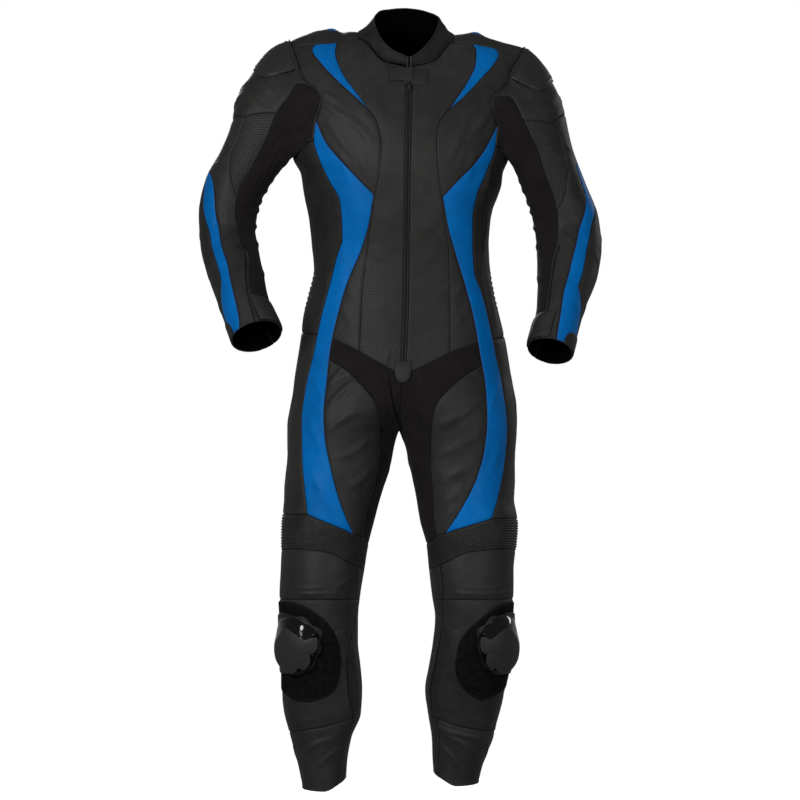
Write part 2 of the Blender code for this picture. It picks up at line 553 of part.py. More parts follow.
def sleeve_panels(side):
    """Return the sleeve's panels, each as rows of turns and runs."""
    at = lambda name, row: at_sleeve(side, name, row)
    upper_top = between(at("stretch", 0), at("back_far", 0), GRID_N + FORE_N + ELBOW_N)
    upper_end = (between(at("stretch", UPPER_END), at("grid", UPPER_END), GRID_N)[:-1]
                 + between(at("grid", UPPER_END), at("stripe_in", UPPER_END), FORE_N)[:-1]
                 + between(at("stripe_in", UPPER_END), at("back_far", UPPER_END), ELBOW_N))
    upper = []
    for row in range(UPPER_END + 1):
        t = row / UPPER_END
        line = [(a[0] + (b[0] - a[0]) * t, a[1] + (b[1] - a[1]) * t) for a, b in zip(upper_top, upper_end)]
        upper.append([at("stretch", row)] + line[1:-1] + [at("back_far", row)])
    return {
        "arm_stretch": [between(at("back", row), at("stretch", row), ARM_STRETCH_N)
                        for row in range(CUFF_ROW + 1)],
        "upper_arm": upper,
        "arm_grid": [between(at("stretch", row), at("grid", row), GRID_N)
                     for row in range(UPPER_END, GRID_END + 1)],
        "forearm": [between(at("grid" if row <= GRID_END else "stretch", row), at("stripe_in", row), FORE_N)
                    for row in range(UPPER_END, CUFF_ROW + 1)],
        "blue_stripe": [between(at("stripe_in", row), at("stripe_out", row), STRIPE_N)
                        for row in range(STRIPE_TOP, CUFF_ROW + 1)],
        "elbow": [between(at("stripe_in" if row < STRIPE_TOP else "stripe_out", row), at("back_far", row),
                          ELBOW_N) for row in range(UPPER_END, CUFF_ROW + 1)],
    }


# --- collar and zip --------------------------------------------------------------------------------

# Top edge of the collar, from the zip (share 0) to centre back (share 1).
COLLAR_TOP = table(
    "share x_right x_left y z_right z_left",
    (0.0, 4, 14, -66, -29, -29), (0.1, -22, 30, -60, -16, -18), (0.2, -41, 44, -44, 4, -2),
    (0.3, -49, 56, -28, 22, 17), (0.4, -53, 62, -10, 38, 33), (0.5, -53, 63, 8, 49, 44),
    (0.6, -50, 56, 24, 56, 50), (0.7, -40, 48, 38, 60, 55), (0.8, -25, 36, 48, 63, 59),
    (0.9, -10, 22, 54, 64, 62), (1.0, 6, 6, 56, 64, 64))
COLLAR_BULGE = {"right": 9.0, "left": 4.0}
NECK_MIDDLE = np.array([6.0, 0.0, 0.0])


def collar_half(side):
    """Return half of the collar: a column for each neckline point, rows from its foot to its edge."""
    foot = [body(side, *p) for p in front_centre_row(side, TOP)[:3]] + list(neck_points(side))
    foot = np.array(foot)
    share = np.linspace(0, 1, len(foot))
    edge = np.stack([smooth(COLLAR_TOP["share"], COLLAR_TOP["x_" + side], share),
                     smooth(COLLAR_TOP["share"], COLLAR_TOP["y"], share),
                     smooth(COLLAR_TOP["share"], COLLAR_TOP["z_" + side], share)], -1)
    away = (foot + edge) / 2 - NECK_MIDDLE
    away[:, 2] = 0
    away /= np.linalg.norm(away, axis=1)[:, None]
    return np.array([foot, (foot + edge) / 2 + COLLAR_BULGE[side] * away, edge])


def zip_grid(collars):
    """Return the zip's tape, from the collar's edge down to the crotch panels."""
    rows = []
    for level in (2, 1):
        ends = [collars[side][level][0] for side in ("right", "left")]
        rows.append([ends[0], (ends[0] + ends[1]) / 2, ends[1]])
    for row in range(TOP, WAIST_V + 1):
        rows.append([body("right", *at_zip("right", row)), body("right", *at_centre("right", row)),
                     body("left", *at_zip("left", row))])
    return np.array(rows)[:, ::-1]


# --- solids ----------------------------------------------------------------------------------------

def grid_normals(grid):
    """Return the unit normals of a grid of points whose rows run down and columns run rightwards."""
    down = np.gradient(grid, axis=0)
    across = np.gradient(grid, axis=1)
    normal = np.cross(across, down)
    return normal / np.maximum(np.linalg.norm(normal, axis=-1), 1e-9)[..., None]


NORMAL_SHARE = 0.8     # 0 weighs the faces round a point by their area, 1 weighs them alike


def shared_normals(grids):
    """Return normals for each grid, averaged where grids share a point, so that seams have one."""
    total = {}
    for grid in grids.values():
        a, b, c, d = grid[:-1, :-1], grid[:-1, 1:], grid[1:, 1:], grid[1:, :-1]
        area = np.cross(c - a, d - b)
        area /= np.linalg.norm(area, axis=-1)[..., None] ** NORMAL_SHARE
        for corner in (a, b, c, d):
            for p, n in zip(corner.reshape(-1, 3), area.reshape(-1, 3)):
                key = tuple(np.round(p, 2))
                total[key] = total.get(key, 0) + n
    result = {}
    for name, grid in grids.items():
        flat = np.array([total[tuple(np.round(p, 2))] for p in grid.reshape(-1, 3)])
        flat /= np.maximum(np.linalg.norm(flat, axis=1), 1e-9)[:, None]
        result[name] = flat.reshape(grid.shape)
    return result


def trimmed(grid, gap):
    """Return the grid with its edges drawn in by half the seam's gap."""
    result = grid.copy()
    for axis in (0, 1):
        points = np.moveaxis(grid, axis, 0)
        moved = np.moveaxis(result, axis, 0)
        for edge, next_one in ((0, 1), (-1, -2)):
            step = points[next_one] - points[edge]
            along = np.gradient(points[edge], axis=0)
            along /= np.maximum(np.linalg.norm(along, axis=1), 1e-9)[:, None]
            step -= along * np.sum(step * along, axis=1)[:, None]
            step /= np.maximum(np.linalg.norm(step, axis=1), 1e-9)[:, None]
            moved[edge] += step * gap / 2
    return result


def wall_mesh(name, outer, inner):
    """Return a closed mesh between two grids of points: both faces and the rims round them.

    Both faces are split along the same diagonals, the shorter ones, so that the wall keeps its
    thickness. A rim's faces are split from its higher corner, so both sides of a seam match."""
    rows, cols = outer.shape[:2]
    points = np.concatenate([outer.reshape(-1, 3), inner.reshape(-1, 3)]) * MM
    back = rows * cols
    place = lambda r, c: r * cols + c
    faces = []
    for r in range(rows - 1):
        for c in range(cols - 1):
            a, b, d, e = place(r, c), place(r + 1, c), place(r + 1, c + 1), place(r, c + 1)
            falling = np.linalg.norm(outer[r, c] - outer[r + 1, c + 1])
            rising = np.linalg.norm(outer[r + 1, c] - outer[r, c + 1])
            halves = [(a, b, d), (a, d, e)] if falling <= rising else [(a, b, e), (b, d, e)]
            for half in halves:
                faces.append(half)
                faces.append(tuple(k + back for k in half[::-1]))
    edge = ([place(0, c) for c in range(cols)] + [place(r, cols - 1) for r in range(1, rows)]
            + [place(rows - 1, c) for c in range(cols - 2, -1, -1)]
            + [place(r, 0) for r in range(rows - 2, 0, -1)])
    for k, here in enumerate(edge):
        after = edge[(k + 1) % len(edge)]
        if points[here][2] > points[after][2]:
            faces += [(here, after, after + back), (here, after + back, here + back)]
        else:
            faces += [(here, after, here + back), (after, after + back, here + back)]
    mesh = bpy.data.meshes.new(name)
    mesh.from_pydata([tuple(p) for p in points], [], faces)
    bm = bmesh.new()
    bm.from_mesh(mesh)
    bmesh.ops.recalc_face_normals(bm, faces=bm.faces)
    bm.to_mesh(mesh)
    bm.free()
    return mesh


# --- materials -------------------------------------------------------------------------------------

FINISHES = {
    "black_leather": ((0.022, 0.022, 0.022), 0.5),
    "perforated_leather": ((0.026, 0.026, 0.026), 0.55),
    "blue_leather": ((0.003, 0.07, 0.24), 0.45),
    "stretch_fabric": ((0.008, 0.007, 0.008), 0.9),
    "hook_pad": ((0.012, 0.011, 0.011), 0.95),
    "slider_plastic": ((0.02, 0.02, 0.019), 0.3),
    "cup_plastic": ((0.02, 0.02, 0.02), 0.45),
    "zip_tape": ((0.006, 0.006, 0.006), 0.8),
    "zip_metal": ((0.05, 0.05, 0.05), 0.35),
}
FINISH_OF = {
    "front_centre": "perforated_leather", "crescent": "blue_leather", "blue_side": "blue_leather",
    "blue_stripe": "blue_leather", "arm_grid": "perforated_leather", "side": "perforated_leather",
    "stretch": "stretch_fabric", "arm_stretch": "stretch_fabric", "knee_patch": "hook_pad",
    "knee_slider": "slider_plastic", "shoulder_cup": "cup_plastic", "zip": "zip_tape",
    "zip_slider": "zip_metal", "zip_pull": "zip_metal",
}


def material(name):
    """Return the named finish as a material."""
    found = bpy.data.materials.get(name)
    if found:
        return found
    colour, rough = FINISHES[name]
    made = bpy.data.materials.new(name)
    made.use_nodes = True
    shader = made.node_tree.nodes["Principled BSDF"]
    shader.inputs["Base Color"].default_value = (*colour, 1)
    shader.inputs["Roughness"].default_value = rough
    shader.inputs["Metallic"].default_value = 1.0 if name == "zip_metal" else 0.0
    return made


def add(name, mesh, collection):
    """Add a mesh to the collection as a named object with its finish."""
    item = bpy.data.objects.new(name, mesh)
    kind = name.replace("_right", "").replace("_left", "")
    mesh.materials.append(material(FINISH_OF.get(kind, "black_leather")))
    collection.objects.link(item)
    return item


def add_lifted(name, side, grid, height, collection, gap=REST_GAP):
    """Add a piece that lies on the skin: the grid moved out, with a thickness for each point."""
    grid = grid if side == "right" else grid[:, ::-1]
    height = height if side == "right" else height[:, ::-1]
    normal = grid_normals(grid)
    low = grid + normal * gap
    return add(name, wall_mesh(name, low + normal * height[..., None], low), collection)


# --- pieces that lie on the skin -------------------------------------------------------------------

PATCH_THICK = 1.6
PATCH_EDGE = {
    "right": table("turn top low", (-31, -1093, -1113), (-27, -1077, -1140), (-18, -1056, -1167),
                   (-6, -1039, -1179), (19, -1018, -1189), (39, -1011, -1188), (60, -1009, -1178),
                   (103, -1009, -1162)),
    "left": table("turn top low", (-21, -1092, -1118), (-17, -1076, -1138), (-8, -1059, -1158),
                  (5, -1044, -1174), (28, -1022, -1186), (50, -1013, -1178), (75, -1010, -1168),
                  (103, -1010, -1160)),
}
PATCH_ROWS, PATCH_COLS = 7, 13
PATCH_SPREAD = 1.15        # over 1 sets the columns closer at the round inner edge

SLIDER = {"right": {"turn": 38, "z": -1081, "wide": 37, "tall": 50},
          "left": {"turn": 47, "z": -1086, "wide": 36, "tall": 47}}
SLIDER_RINGS, SLIDER_SPOKES = 4, 24
SLIDER_EDGE, SLIDER_DOME = 9.0, 15.0
SLIDER_FLAT = 2.5          # how flat the top of its dome is
SLIDER_SCALLOP = 0.09      # how deep the base's notches are, as a share of its radius
NOTCH_PLACES, NOTCH_WIDTH = (150, 185, 220), 9.0
PROBE = 0.5                # small step used to find which way the skin faces


def knee_patch(side):
    """Return the hook-and-loop field on the shin, from its round inner edge to the outer side."""
    edge = PATCH_EDGE[side]
    first, last = edge["turn"][0], edge["turn"][-1]
    turns = first + (last - first) * np.linspace(0, 1, PATCH_COLS) ** PATCH_SPREAD
    top, low = (smooth(edge["turn"], edge[name], turns) for name in ("top", "low"))
    share = np.linspace(0, 1, PATCH_ROWS)[:, None]
    return body(side, turns[None, :] + 0 * share, top + (low - top) * share)


def slider_outline(angle):
    """Return the knee slider's radius, as a share, with three notches on its inner side."""
    notch = 0.0
    for place in NOTCH_PLACES:
        notch += SLIDER_SCALLOP * math.exp(-((math.degrees(angle) - place) / NOTCH_WIDTH) ** 2)
    return 1 - notch


def knee_slider_mesh(side, name):
    """Return the knee slider: a domed puck whose foot follows the patch under it."""
    size = SLIDER[side]
    low, high = [], []
    foot = CURVED_GAP + PATCH_THICK + REST_GAP
    for ring in range(SLIDER_RINGS + 1):
        share = ring / SLIDER_RINGS
        for spoke in range(SLIDER_SPOKES if ring else 1):
            angle = 2 * math.pi * spoke / SLIDER_SPOKES
            reach = share * slider_outline(angle)
            turn = size["turn"] + size["wide"] * reach * math.cos(angle)
            z = size["z"] + size["tall"] * reach * math.sin(angle)
            point = body(side, turn, z)
            across = body(side, turn + PROBE, z) - body(side, turn - PROBE, z)
            down = body(side, turn, z - PROBE) - body(side, turn, z + PROBE)
            normal = np.cross(across, down) * (1 if side == "right" else -1)
            normal /= np.linalg.norm(normal)
            height = SLIDER_EDGE + SLIDER_DOME * (1 - share ** SLIDER_FLAT)
            low.append(point + normal * foot)
            high.append(point + normal * (foot + height))
    count = len(low)
    spokes = SLIDER_SPOKES
    faces = []
    ring_at = lambda ring, spoke: 0 if ring == 0 else 1 + (ring - 1) * spokes + spoke % spokes
    for ring in range(SLIDER_RINGS):
        for spoke in range(spokes):
            corners = [ring_at(ring + 1, spoke), ring_at(ring + 1, spoke + 1)]
            corners += [ring_at(ring, spoke + 1), ring_at(ring, spoke)] if ring else [0]
            faces.append(tuple(corners))
            faces.append(tuple(k + count for k in corners[::-1]))
    for spoke in range(spokes):
        here, after = ring_at(SLIDER_RINGS, spoke), ring_at(SLIDER_RINGS, spoke + 1)
        faces.append((here, after, after + count, here + count))
    mesh = bpy.data.meshes.new(name)
    mesh.from_pydata([tuple(p * MM) for p in low + high], [], faces)
    bm = bmesh.new()
    bm.from_mesh(mesh)
    bmesh.ops.recalc_face_normals(bm, faces=bm.faces)
    bm.to_mesh(mesh)
    bm.free()
    return mesh


CUP_TURNS = (28.0, 150.0)
CUP_TOP, CUP_LOW, CUP_BOW = 0.02, 0.12, {"right": 0.05, "left": 0.075}
CUP_ROWS, CUP_COLS = 5, 13
CUP_EDGE, CUP_DOME = 2.5, 5.5
CUP_GAP = 1.8
CUFF_ROWS, CUFF_COLS = 3, 7
CUFF_TURNS = (-90.0, -10.0)
CUFF_RUNS = (0.93, 0.985)
CUFF_GAP = 1.6
CUFF_THICK = 2.0


def domed(rows, cols, edge, dome):
    """Return thicknesses for a grid: an edge all round and a dome over the middle."""
    v = np.sin(np.linspace(0, math.pi, rows))[:, None]
    u = np.sin(np.linspace(0, math.pi, cols))[None, :]
    return edge + dome * (u * v) ** 0.5


def cup_grid(side, loop):
    """Return the shoulder cup's grid of sleeve points. Its lower edge bows down over the arm."""
    share = np.linspace(0, 1, CUP_ROWS)[:, None]
    turn = np.linspace(*CUP_TURNS, CUP_COLS)[None, :]
    low = CUP_LOW + CUP_BOW[side] * np.sin(np.pi * np.linspace(0, 1, CUP_COLS))[None, :]
    return sleeve(side, turn + 0 * share, CUP_TOP + (low - CUP_TOP) * share, loop)


def cuff_grid(side, loop):
    """Return the cuff strap's grid of sleeve points."""
    turn, run = np.meshgrid(np.linspace(*CUFF_TURNS, CUFF_COLS), np.linspace(*CUFF_RUNS, CUFF_ROWS))
    return sleeve(side, turn, run, loop)


TAB_OUT = {"right": 27.0, "left": 43.0}
TAB_TOP, TAB_LOW = -51.0, -75.0
TAB_THICK = 2.6
END_TAB = table("z half", (-577, 14.5), (-596, 14.5), (-607, 12), (-613, 8), (-616, 3.5))
END_TAB_THICK = 1.8


def front_strip(heights, right, left, cols):
    """Return a grid across the centre front, with a reach to each side for each height."""
    rows = []
    for z, right_out, left_out in zip(heights, right, left):
        row = []
        for x in np.linspace(left_out, -right_out, cols):
            side = "left" if x > smooth(CENTRE["z"], CENTRE["x"], z) else "right"
            row.append(body(side, turn_at(side, SIDES[side] * x, z), z))
        rows.append(row)
    return np.array(rows)


# --- zip slider and its pull -----------------------------------------------------------------------

SLIDER_Z = -83.0
SLIDER_SIZE = (9.0, 4.0, 12.0)
SLIDER_ROUND = 0.8
PULL_SIZE = (5.0, 1.4, 15.0)
PULL_ROUND = 0.4
PULL_GAP = 0.4
PULL_RISE = -1.0       # where the pull's hinge is, along the zip from the slider's middle


def block(name, size, offset, bevel):
    """Return a box with rounded edges, set off from its own origin."""
    bm = bmesh.new()
    bmesh.ops.create_cube(bm, size=1)
    for vert in bm.verts:
        vert.co = [(vert.co[k] * size[k] + offset[k]) * MM for k in range(3)]
    bmesh.ops.bevel(bm, geom=bm.edges[:], offset=bevel * MM, segments=1, affect="EDGES")
    mesh = bpy.data.meshes.new(name)
    bm.to_mesh(mesh)
    bm.free()
    return mesh


def zip_slider_places():
    """Return the slider's centre, the pull's hinge point and the zip's tilt there."""
    here, above = (body("right", turn_at("right", -float(smooth(CENTRE["z"], CENTRE["x"], z)), z), z)
                   for z in (SLIDER_Z, SLIDER_Z + SLIDER_SIZE[2]))
    slope = above - here
    tilt = math.atan2(-slope[1], slope[2])
    out = np.array([0, -math.cos(tilt), -math.sin(tilt)])
    along = np.array([0, -math.sin(tilt), math.cos(tilt)])
    slider = here + out * (REST_GAP + SLIDER_SIZE[1] / 2)
    hinge = here + out * (REST_GAP + SLIDER_SIZE[1] + PULL_GAP + PULL_SIZE[1] / 2) + along * PULL_RISE
    return slider, hinge, tilt


def add_placed(name, mesh, point, tilt, collection):
    """Add an object whose origin is at a point, turned about X by the zip's tilt."""
    item = add(name, mesh, collection)
    item.location = point * MM
    item.rotation_euler = (tilt, 0, 0)


# --- the whole suit --------------------------------------------------------------------------------

def main():
    """Build every piece of the suit."""
    for item in list(bpy.data.objects):
        bpy.data.objects.remove(item)
    suit = bpy.data.collections.new("motorcycle_race_suit")
    bpy.context.scene.collection.children.link(suit)

    skin = {}
    loops = {}
    seats = {}
    for side in SIDES:
        loops[side] = armhole_loop(side)
        for name, rows in body_panels(side).items():
            rows = np.array(rows)
            skin[name + "_" + side] = body(side, rows[..., 0], rows[..., 1])
        for name, rows in sleeve_panels(side).items():
            rows = np.array(rows)
            skin[name + "_" + side] = sleeve(side, rows[..., 0], rows[..., 1], loops[side])
        back = np.array([between(at_side_back(side, row), at_back(side, row), BACK_N)
                         for row in range(BACK_TOP, WAIST_V + 1)])
        seats[side] = body(side, back[..., 0], back[..., 1])
    for name in skin:
        if name.endswith("_left"):
            skin[name] = skin[name][:, ::-1]
    skin["back"] = np.concatenate([seats["right"], seats["left"][:, -2::-1]], axis=1)
    skin["yoke"] = np.concatenate([yoke_half("right"), yoke_half("left")[-2::-1]], axis=0)
    collars = {side: collar_half(side) for side in SIDES}
    skin["collar"] = np.concatenate([collars["right"], collars["left"][:, -2::-1]], axis=1)[::-1]
    skin["zip"] = zip_grid(collars)

    normals = shared_normals(skin)
    for name, grid in skin.items():
        outer = trimmed(grid, SEAM_GAP)
        add(name, wall_mesh(name, outer, outer - normals[name] * WALL), suit)

    for side in SIDES:
        grid = knee_patch(side)
        add_lifted("knee_patch_" + side, side, grid, np.full(grid.shape[:2], PATCH_THICK), suit, CURVED_GAP)
        add("knee_slider_" + side, knee_slider_mesh(side, "knee_slider_" + side), suit)
        add_lifted("shoulder_cup_" + side, side, cup_grid(side, loops[side]),
                   domed(CUP_ROWS, CUP_COLS, CUP_EDGE, CUP_DOME), suit, CUP_GAP)
        add_lifted("cuff_" + side, side, cuff_grid(side, loops[side]),
                   np.full((CUFF_ROWS, CUFF_COLS), CUFF_THICK), suit, CUFF_GAP)

    tab = front_strip(np.linspace(TAB_TOP, TAB_LOW, 3), [TAB_OUT["right"]] * 3, [TAB_OUT["left"]] * 3, 9)
    add_lifted("collar_tab", "right", tab, np.full(tab.shape[:2], TAB_THICK), suit)
    heights = END_TAB["z"][::-1]
    lean = smooth(CENTRE["z"], CENTRE["x"], heights)
    half = smooth(END_TAB["z"], END_TAB["half"], heights)
    tab = front_strip(heights, half - lean, half + lean, 5)
    add_lifted("zip_end_tab", "right", tab, np.full(tab.shape[:2], END_TAB_THICK), suit)

    slider, hinge, tilt = zip_slider_places()
    add_placed("zip_slider", block("zip_slider", SLIDER_SIZE, (0, 0, 0), SLIDER_ROUND), slider, tilt, suit)
    pull_drop = (0, 0, -(PULL_SIZE[2] - PULL_SIZE[1]) / 2)
    add_placed("zip_pull", block("zip_pull", PULL_SIZE, pull_drop, PULL_ROUND), hinge, tilt, suit)


main()
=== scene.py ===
"""Motorcycle race suit: leather and stretch panels, armour, zip and studio.

Sizes are in millimetres until a mesh is made. X is across the body (the wearer's right is -X),
-Y is the front and Z is up. The skin is a body and two sleeves, each a smooth surface given by its
sections. A point of the body is named by its turn in degrees (0 centre front, 90 the outer side,
180 centre back, and on round the inner leg) and its height. A point of a sleeve is named by its turn
(0 front, 90 outer, 180 back, -90 inner) and its run from the armhole (0) to the cuff (1).
"""
import math

import bpy
import numpy as np
from bpy.props import FloatProperty, FloatVectorProperty, PointerProperty
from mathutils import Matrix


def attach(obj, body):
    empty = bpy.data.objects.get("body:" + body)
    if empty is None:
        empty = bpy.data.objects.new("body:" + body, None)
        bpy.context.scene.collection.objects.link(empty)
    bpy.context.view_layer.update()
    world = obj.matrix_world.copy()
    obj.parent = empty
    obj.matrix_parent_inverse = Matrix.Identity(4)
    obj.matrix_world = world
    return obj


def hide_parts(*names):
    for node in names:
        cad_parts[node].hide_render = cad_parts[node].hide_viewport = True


bl_info = {"name": "Race suit",
    "version": (1, 0, 0),
    "blender": (4, 5, 0),
    "location": "View3D > Sidebar > Race suit",
    "description": "Builds a one-piece leather motorcycle suit in its worn form",
    "category": "Add Mesh"}

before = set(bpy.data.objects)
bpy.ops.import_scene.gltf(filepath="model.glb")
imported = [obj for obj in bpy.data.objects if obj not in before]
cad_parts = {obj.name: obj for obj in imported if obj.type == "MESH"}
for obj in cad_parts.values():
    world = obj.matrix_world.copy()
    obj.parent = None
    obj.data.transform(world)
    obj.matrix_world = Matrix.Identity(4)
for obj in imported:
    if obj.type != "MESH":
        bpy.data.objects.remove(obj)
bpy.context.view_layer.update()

MM = 0.001
TIP = 1.2            # width left at a panel's pointed end
ZIP_HALF = 5.0       # half the width of the zip with its welts
SIDES = {"right": -1, "left": 1}


# --- tables of the form ---

def table(names, *rows):
    """Return the columns of a short table by name, with the first column rising."""
    data = np.array(sorted(rows), float)
    return {name: data[:, k] for k, name in enumerate(names.split())}


def smooth(xs, ys, at):
    """Return a cubic curve through points that never overshoots them: its slope at a point is the
    harmonic mean of the slopes beside it, or 0 at a peak."""
    at = np.clip(np.asarray(at, float), xs[0], xs[-1])
    step = np.diff(xs)
    rise = np.diff(ys) / step
    slope = np.empty(len(xs))
    slope[0], slope[-1] = rise[0], rise[-1]
    both = rise[:-1] * rise[1:]
    slope[1:-1] = np.where(both > 0, 2 * both / np.where(both > 0, rise[:-1] + rise[1:], 1), 0)
    k = np.clip(np.searchsorted(xs, at, side="right") - 1, 0, len(xs) - 2)
    t = (at - xs[k]) / step[k]
    return ((1 + 2 * t) * (1 - t) ** 2 * ys[k] + t * (1 - t) ** 2 * step[k] * slope[k]
            + t * t * (3 - 2 * t) * ys[k + 1] - t * t * (1 - t) * step[k] * slope[k + 1])


def column(rows, name, at):
    """Return a column of a table at places along its first one, as a smooth curve."""
    return smooth(next(iter(rows.values())), rows[name], at)


def within(share):
    """Return a share kept from 0 to 1."""
    return np.clip(share, 0, 1)


def bell(distance, width):
    """Return a bell curve: 1 on a line, fading by the distance from it."""
    return np.exp(-(distance / width) ** 2)


def grown(distance, reach):
    """Return a rise from 0 at an edge towards 1 beyond its reach."""
    return 1 - np.exp(-distance / reach)


def unit(vectors):
    """Return vectors at a length of 1."""
    return vectors / np.maximum(np.linalg.norm(vectors, axis=-1), 1e-9)[..., None]


def outwards(side, grid):
    """Return a grid with its columns running outwards over the front on the right, inwards on the left."""
    return grid if side == "right" else grid[:, ::-1]


def towards(first, last, share):
    """Return a pair of arrays part of the way from the first pair to the last."""
    return tuple(a + (b - a) * share for a, b in zip(first, last))


def between(start, end, share, bend=1.0):
    """Return straight lines from start to end, a row each. A bend over 1 keeps the start level."""
    first, last = (np.atleast_1d(a)[:, None] for a in (start[0], end[0]))
    high, low = (np.atleast_1d(a)[:, None] for a in (start[1], end[1]))
    return first + (last - first) * share, high + (low - high) * share ** np.atleast_1d(bend)[:, None]


def pick(stops, values, share):
    """Return turns and heights on the line through points, each at its own share."""
    return tuple(np.interp(share, stops, [float(np.ravel(v[k])[0]) for v in values]) for k in (0, 1))


# Outer side line of the body and the leg: distance out from the middle plane, for each side.
OUTER = table("z right left", (60, 225, 226), (0, 225, 226), (-60, 222, 218), (-120, 214, 206),
    (-170, 206, 194), (-214, 199, 187), (-239, 186, 177), (-261, 182, 174), (-283, 178, 167), (-304, 173, 159),
    (-326, 169, 155), (-369, 165, 152), (-412, 162, 154), (-455, 171, 160), (-499, 181, 171), (-542, 186, 182),
    (-607, 197, 193), (-650, 202, 200), (-693, 208, 201), (-736, 209, 200), (-823, 215, 197), (-866, 219, 204),
    (-909, 220, 201), (-952, 222, 196), (-995, 224, 196), (-1039, 222, 194), (-1082, 220, 194),
    (-1125, 219, 189), (-1168, 219, 180), (-1211, 215, 171), (-1255, 204, 160), (-1298, 192, 142),
    (-1345, 183, 133), (-1360, 182, 132))

# Inner side line of the leg, below the crotch.
INNER = table("z right left", (-702, 9, -9), (-715, 14, -4), (-736, 19, 4), (-758, 23, 7), (-779, 29, 13),
    (-823, 43, 22), (-866, 54, 29), (-909, 65, 41), (-952, 72, 45), (-995, 79, 50), (-1039, 83, 56),
    (-1082, 83, 52), (-1125, 79, 45), (-1168, 76, 38), (-1211, 78, 43), (-1255, 95, 50), (-1298, 103, 52),
    (-1345, 106, 56), (-1360, 107, 57))

# Centre front and centre back line: how far it leans off the middle plane.
CENTRE = table("z x", (60, 8), (-50, 9), (-300, 5), (-468, 3), (-578, -1), (-702, -9))

# Where the section's middle lies, and its depth in front of it and behind it.
DEPTH = table("z middle front back", (60, 12, 80, 92), (0, 10, 92, 102), (-60, 5, 106, 114),
    (-150, 0, 124, 124), (-214, 0, 130, 124), (-300, 0, 120, 112), (-400, 2, 106, 102), (-470, 5, 108, 114),
    (-560, 8, 118, 130), (-650, 8, 122, 134), (-736, 5, 110, 116), (-823, -2, 100, 98), (-909, -10, 90, 86),
    (-995, -15, 84, 78), (-1082, -6, 80, 76), (-1168, 12, 72, 74), (-1255, 25, 62, 62), (-1345, 34, 52, 50),
    (-1360, 35, 51, 49))

# The shoulder closes over the top: height of its ridge, and how far below it the section is full.
RIDGE = table("out right left back_right back_left reach", (0, 8, 8, 46, 46, 200), (50, 10, 9, 38, 38, 196),
    (80, 15, 10, 15, 10, 190), (116, 16, 11, 16, 11, 160), (150, 17, 4, 17, 4, 120), (180, 9, -4, 9, -4, 104),
    (207, -2, -11, -2, -11, 92), (235, -16, -20, -16, -20, 80))

FORK_TOP = -603.0      # height where the front starts to part into two legs
SEAT_TOP = -590.0      # the same at the back
FORK = -702.0          # height of the crotch

# Sleeve sections from the armhole (run 0) to the cuff (run 1): the outer and the inner point,
# the middle's y, half the depth and how far the front of the section is lifted.
SLEEVE = {"right": table("run out_x out_z in_x in_z middle depth lift", (0.00, 207, -2, 201, -214, 2, 78, 0),
        (0.08, 237, -17, 205, -219, 2, 76, 0), (0.18, 275, -60, 214, -228, 2, 72, 0),
        (0.26, 299, -100, 224, -238, 2, 68, 0), (0.36, 312, -156, 238, -254, 3, 63, 0),
        (0.42, 330, -198, 246, -266, 4, 61, 0), (0.52, 357, -250, 261, -296, 8, 58, 0),
        (0.62, 369, -315, 268, -337, 9, 56, 4), (0.72, 366, -370, 263, -377, -8, 54, 14),
        (0.82, 351, -425, 253, -425, -40, 50, 23), (0.92, 331, -480, 242, -475, -80, 46, 26),
        (1.00, 309, -541, 220, -524, -120, 38, 26)),
    "left": table("run out_x out_z in_x in_z middle depth lift", (0.00, 216, -14, 187, -214, 2, 78, 0),
        (0.08, 233, -29, 190, -221, 2, 76, 0), (0.18, 261, -65, 196, -231, 2, 72, 0),
        (0.30, 284, -112, 204, -245, 2, 66, 0), (0.42, 302, -190, 213, -266, 4, 61, 0),
        (0.52, 327, -258, 226, -298, 8, 58, 0), (0.62, 349, -318, 236, -340, 9, 56, 4),
        (0.72, 355, -375, 240, -382, -8, 54, 14), (0.82, 346, -430, 240, -434, -40, 50, 22),
        (0.92, 323, -486, 238, -486, -80, 46, 22), (1.00, 302, -565, 222, -553, -120, 36, 22))}

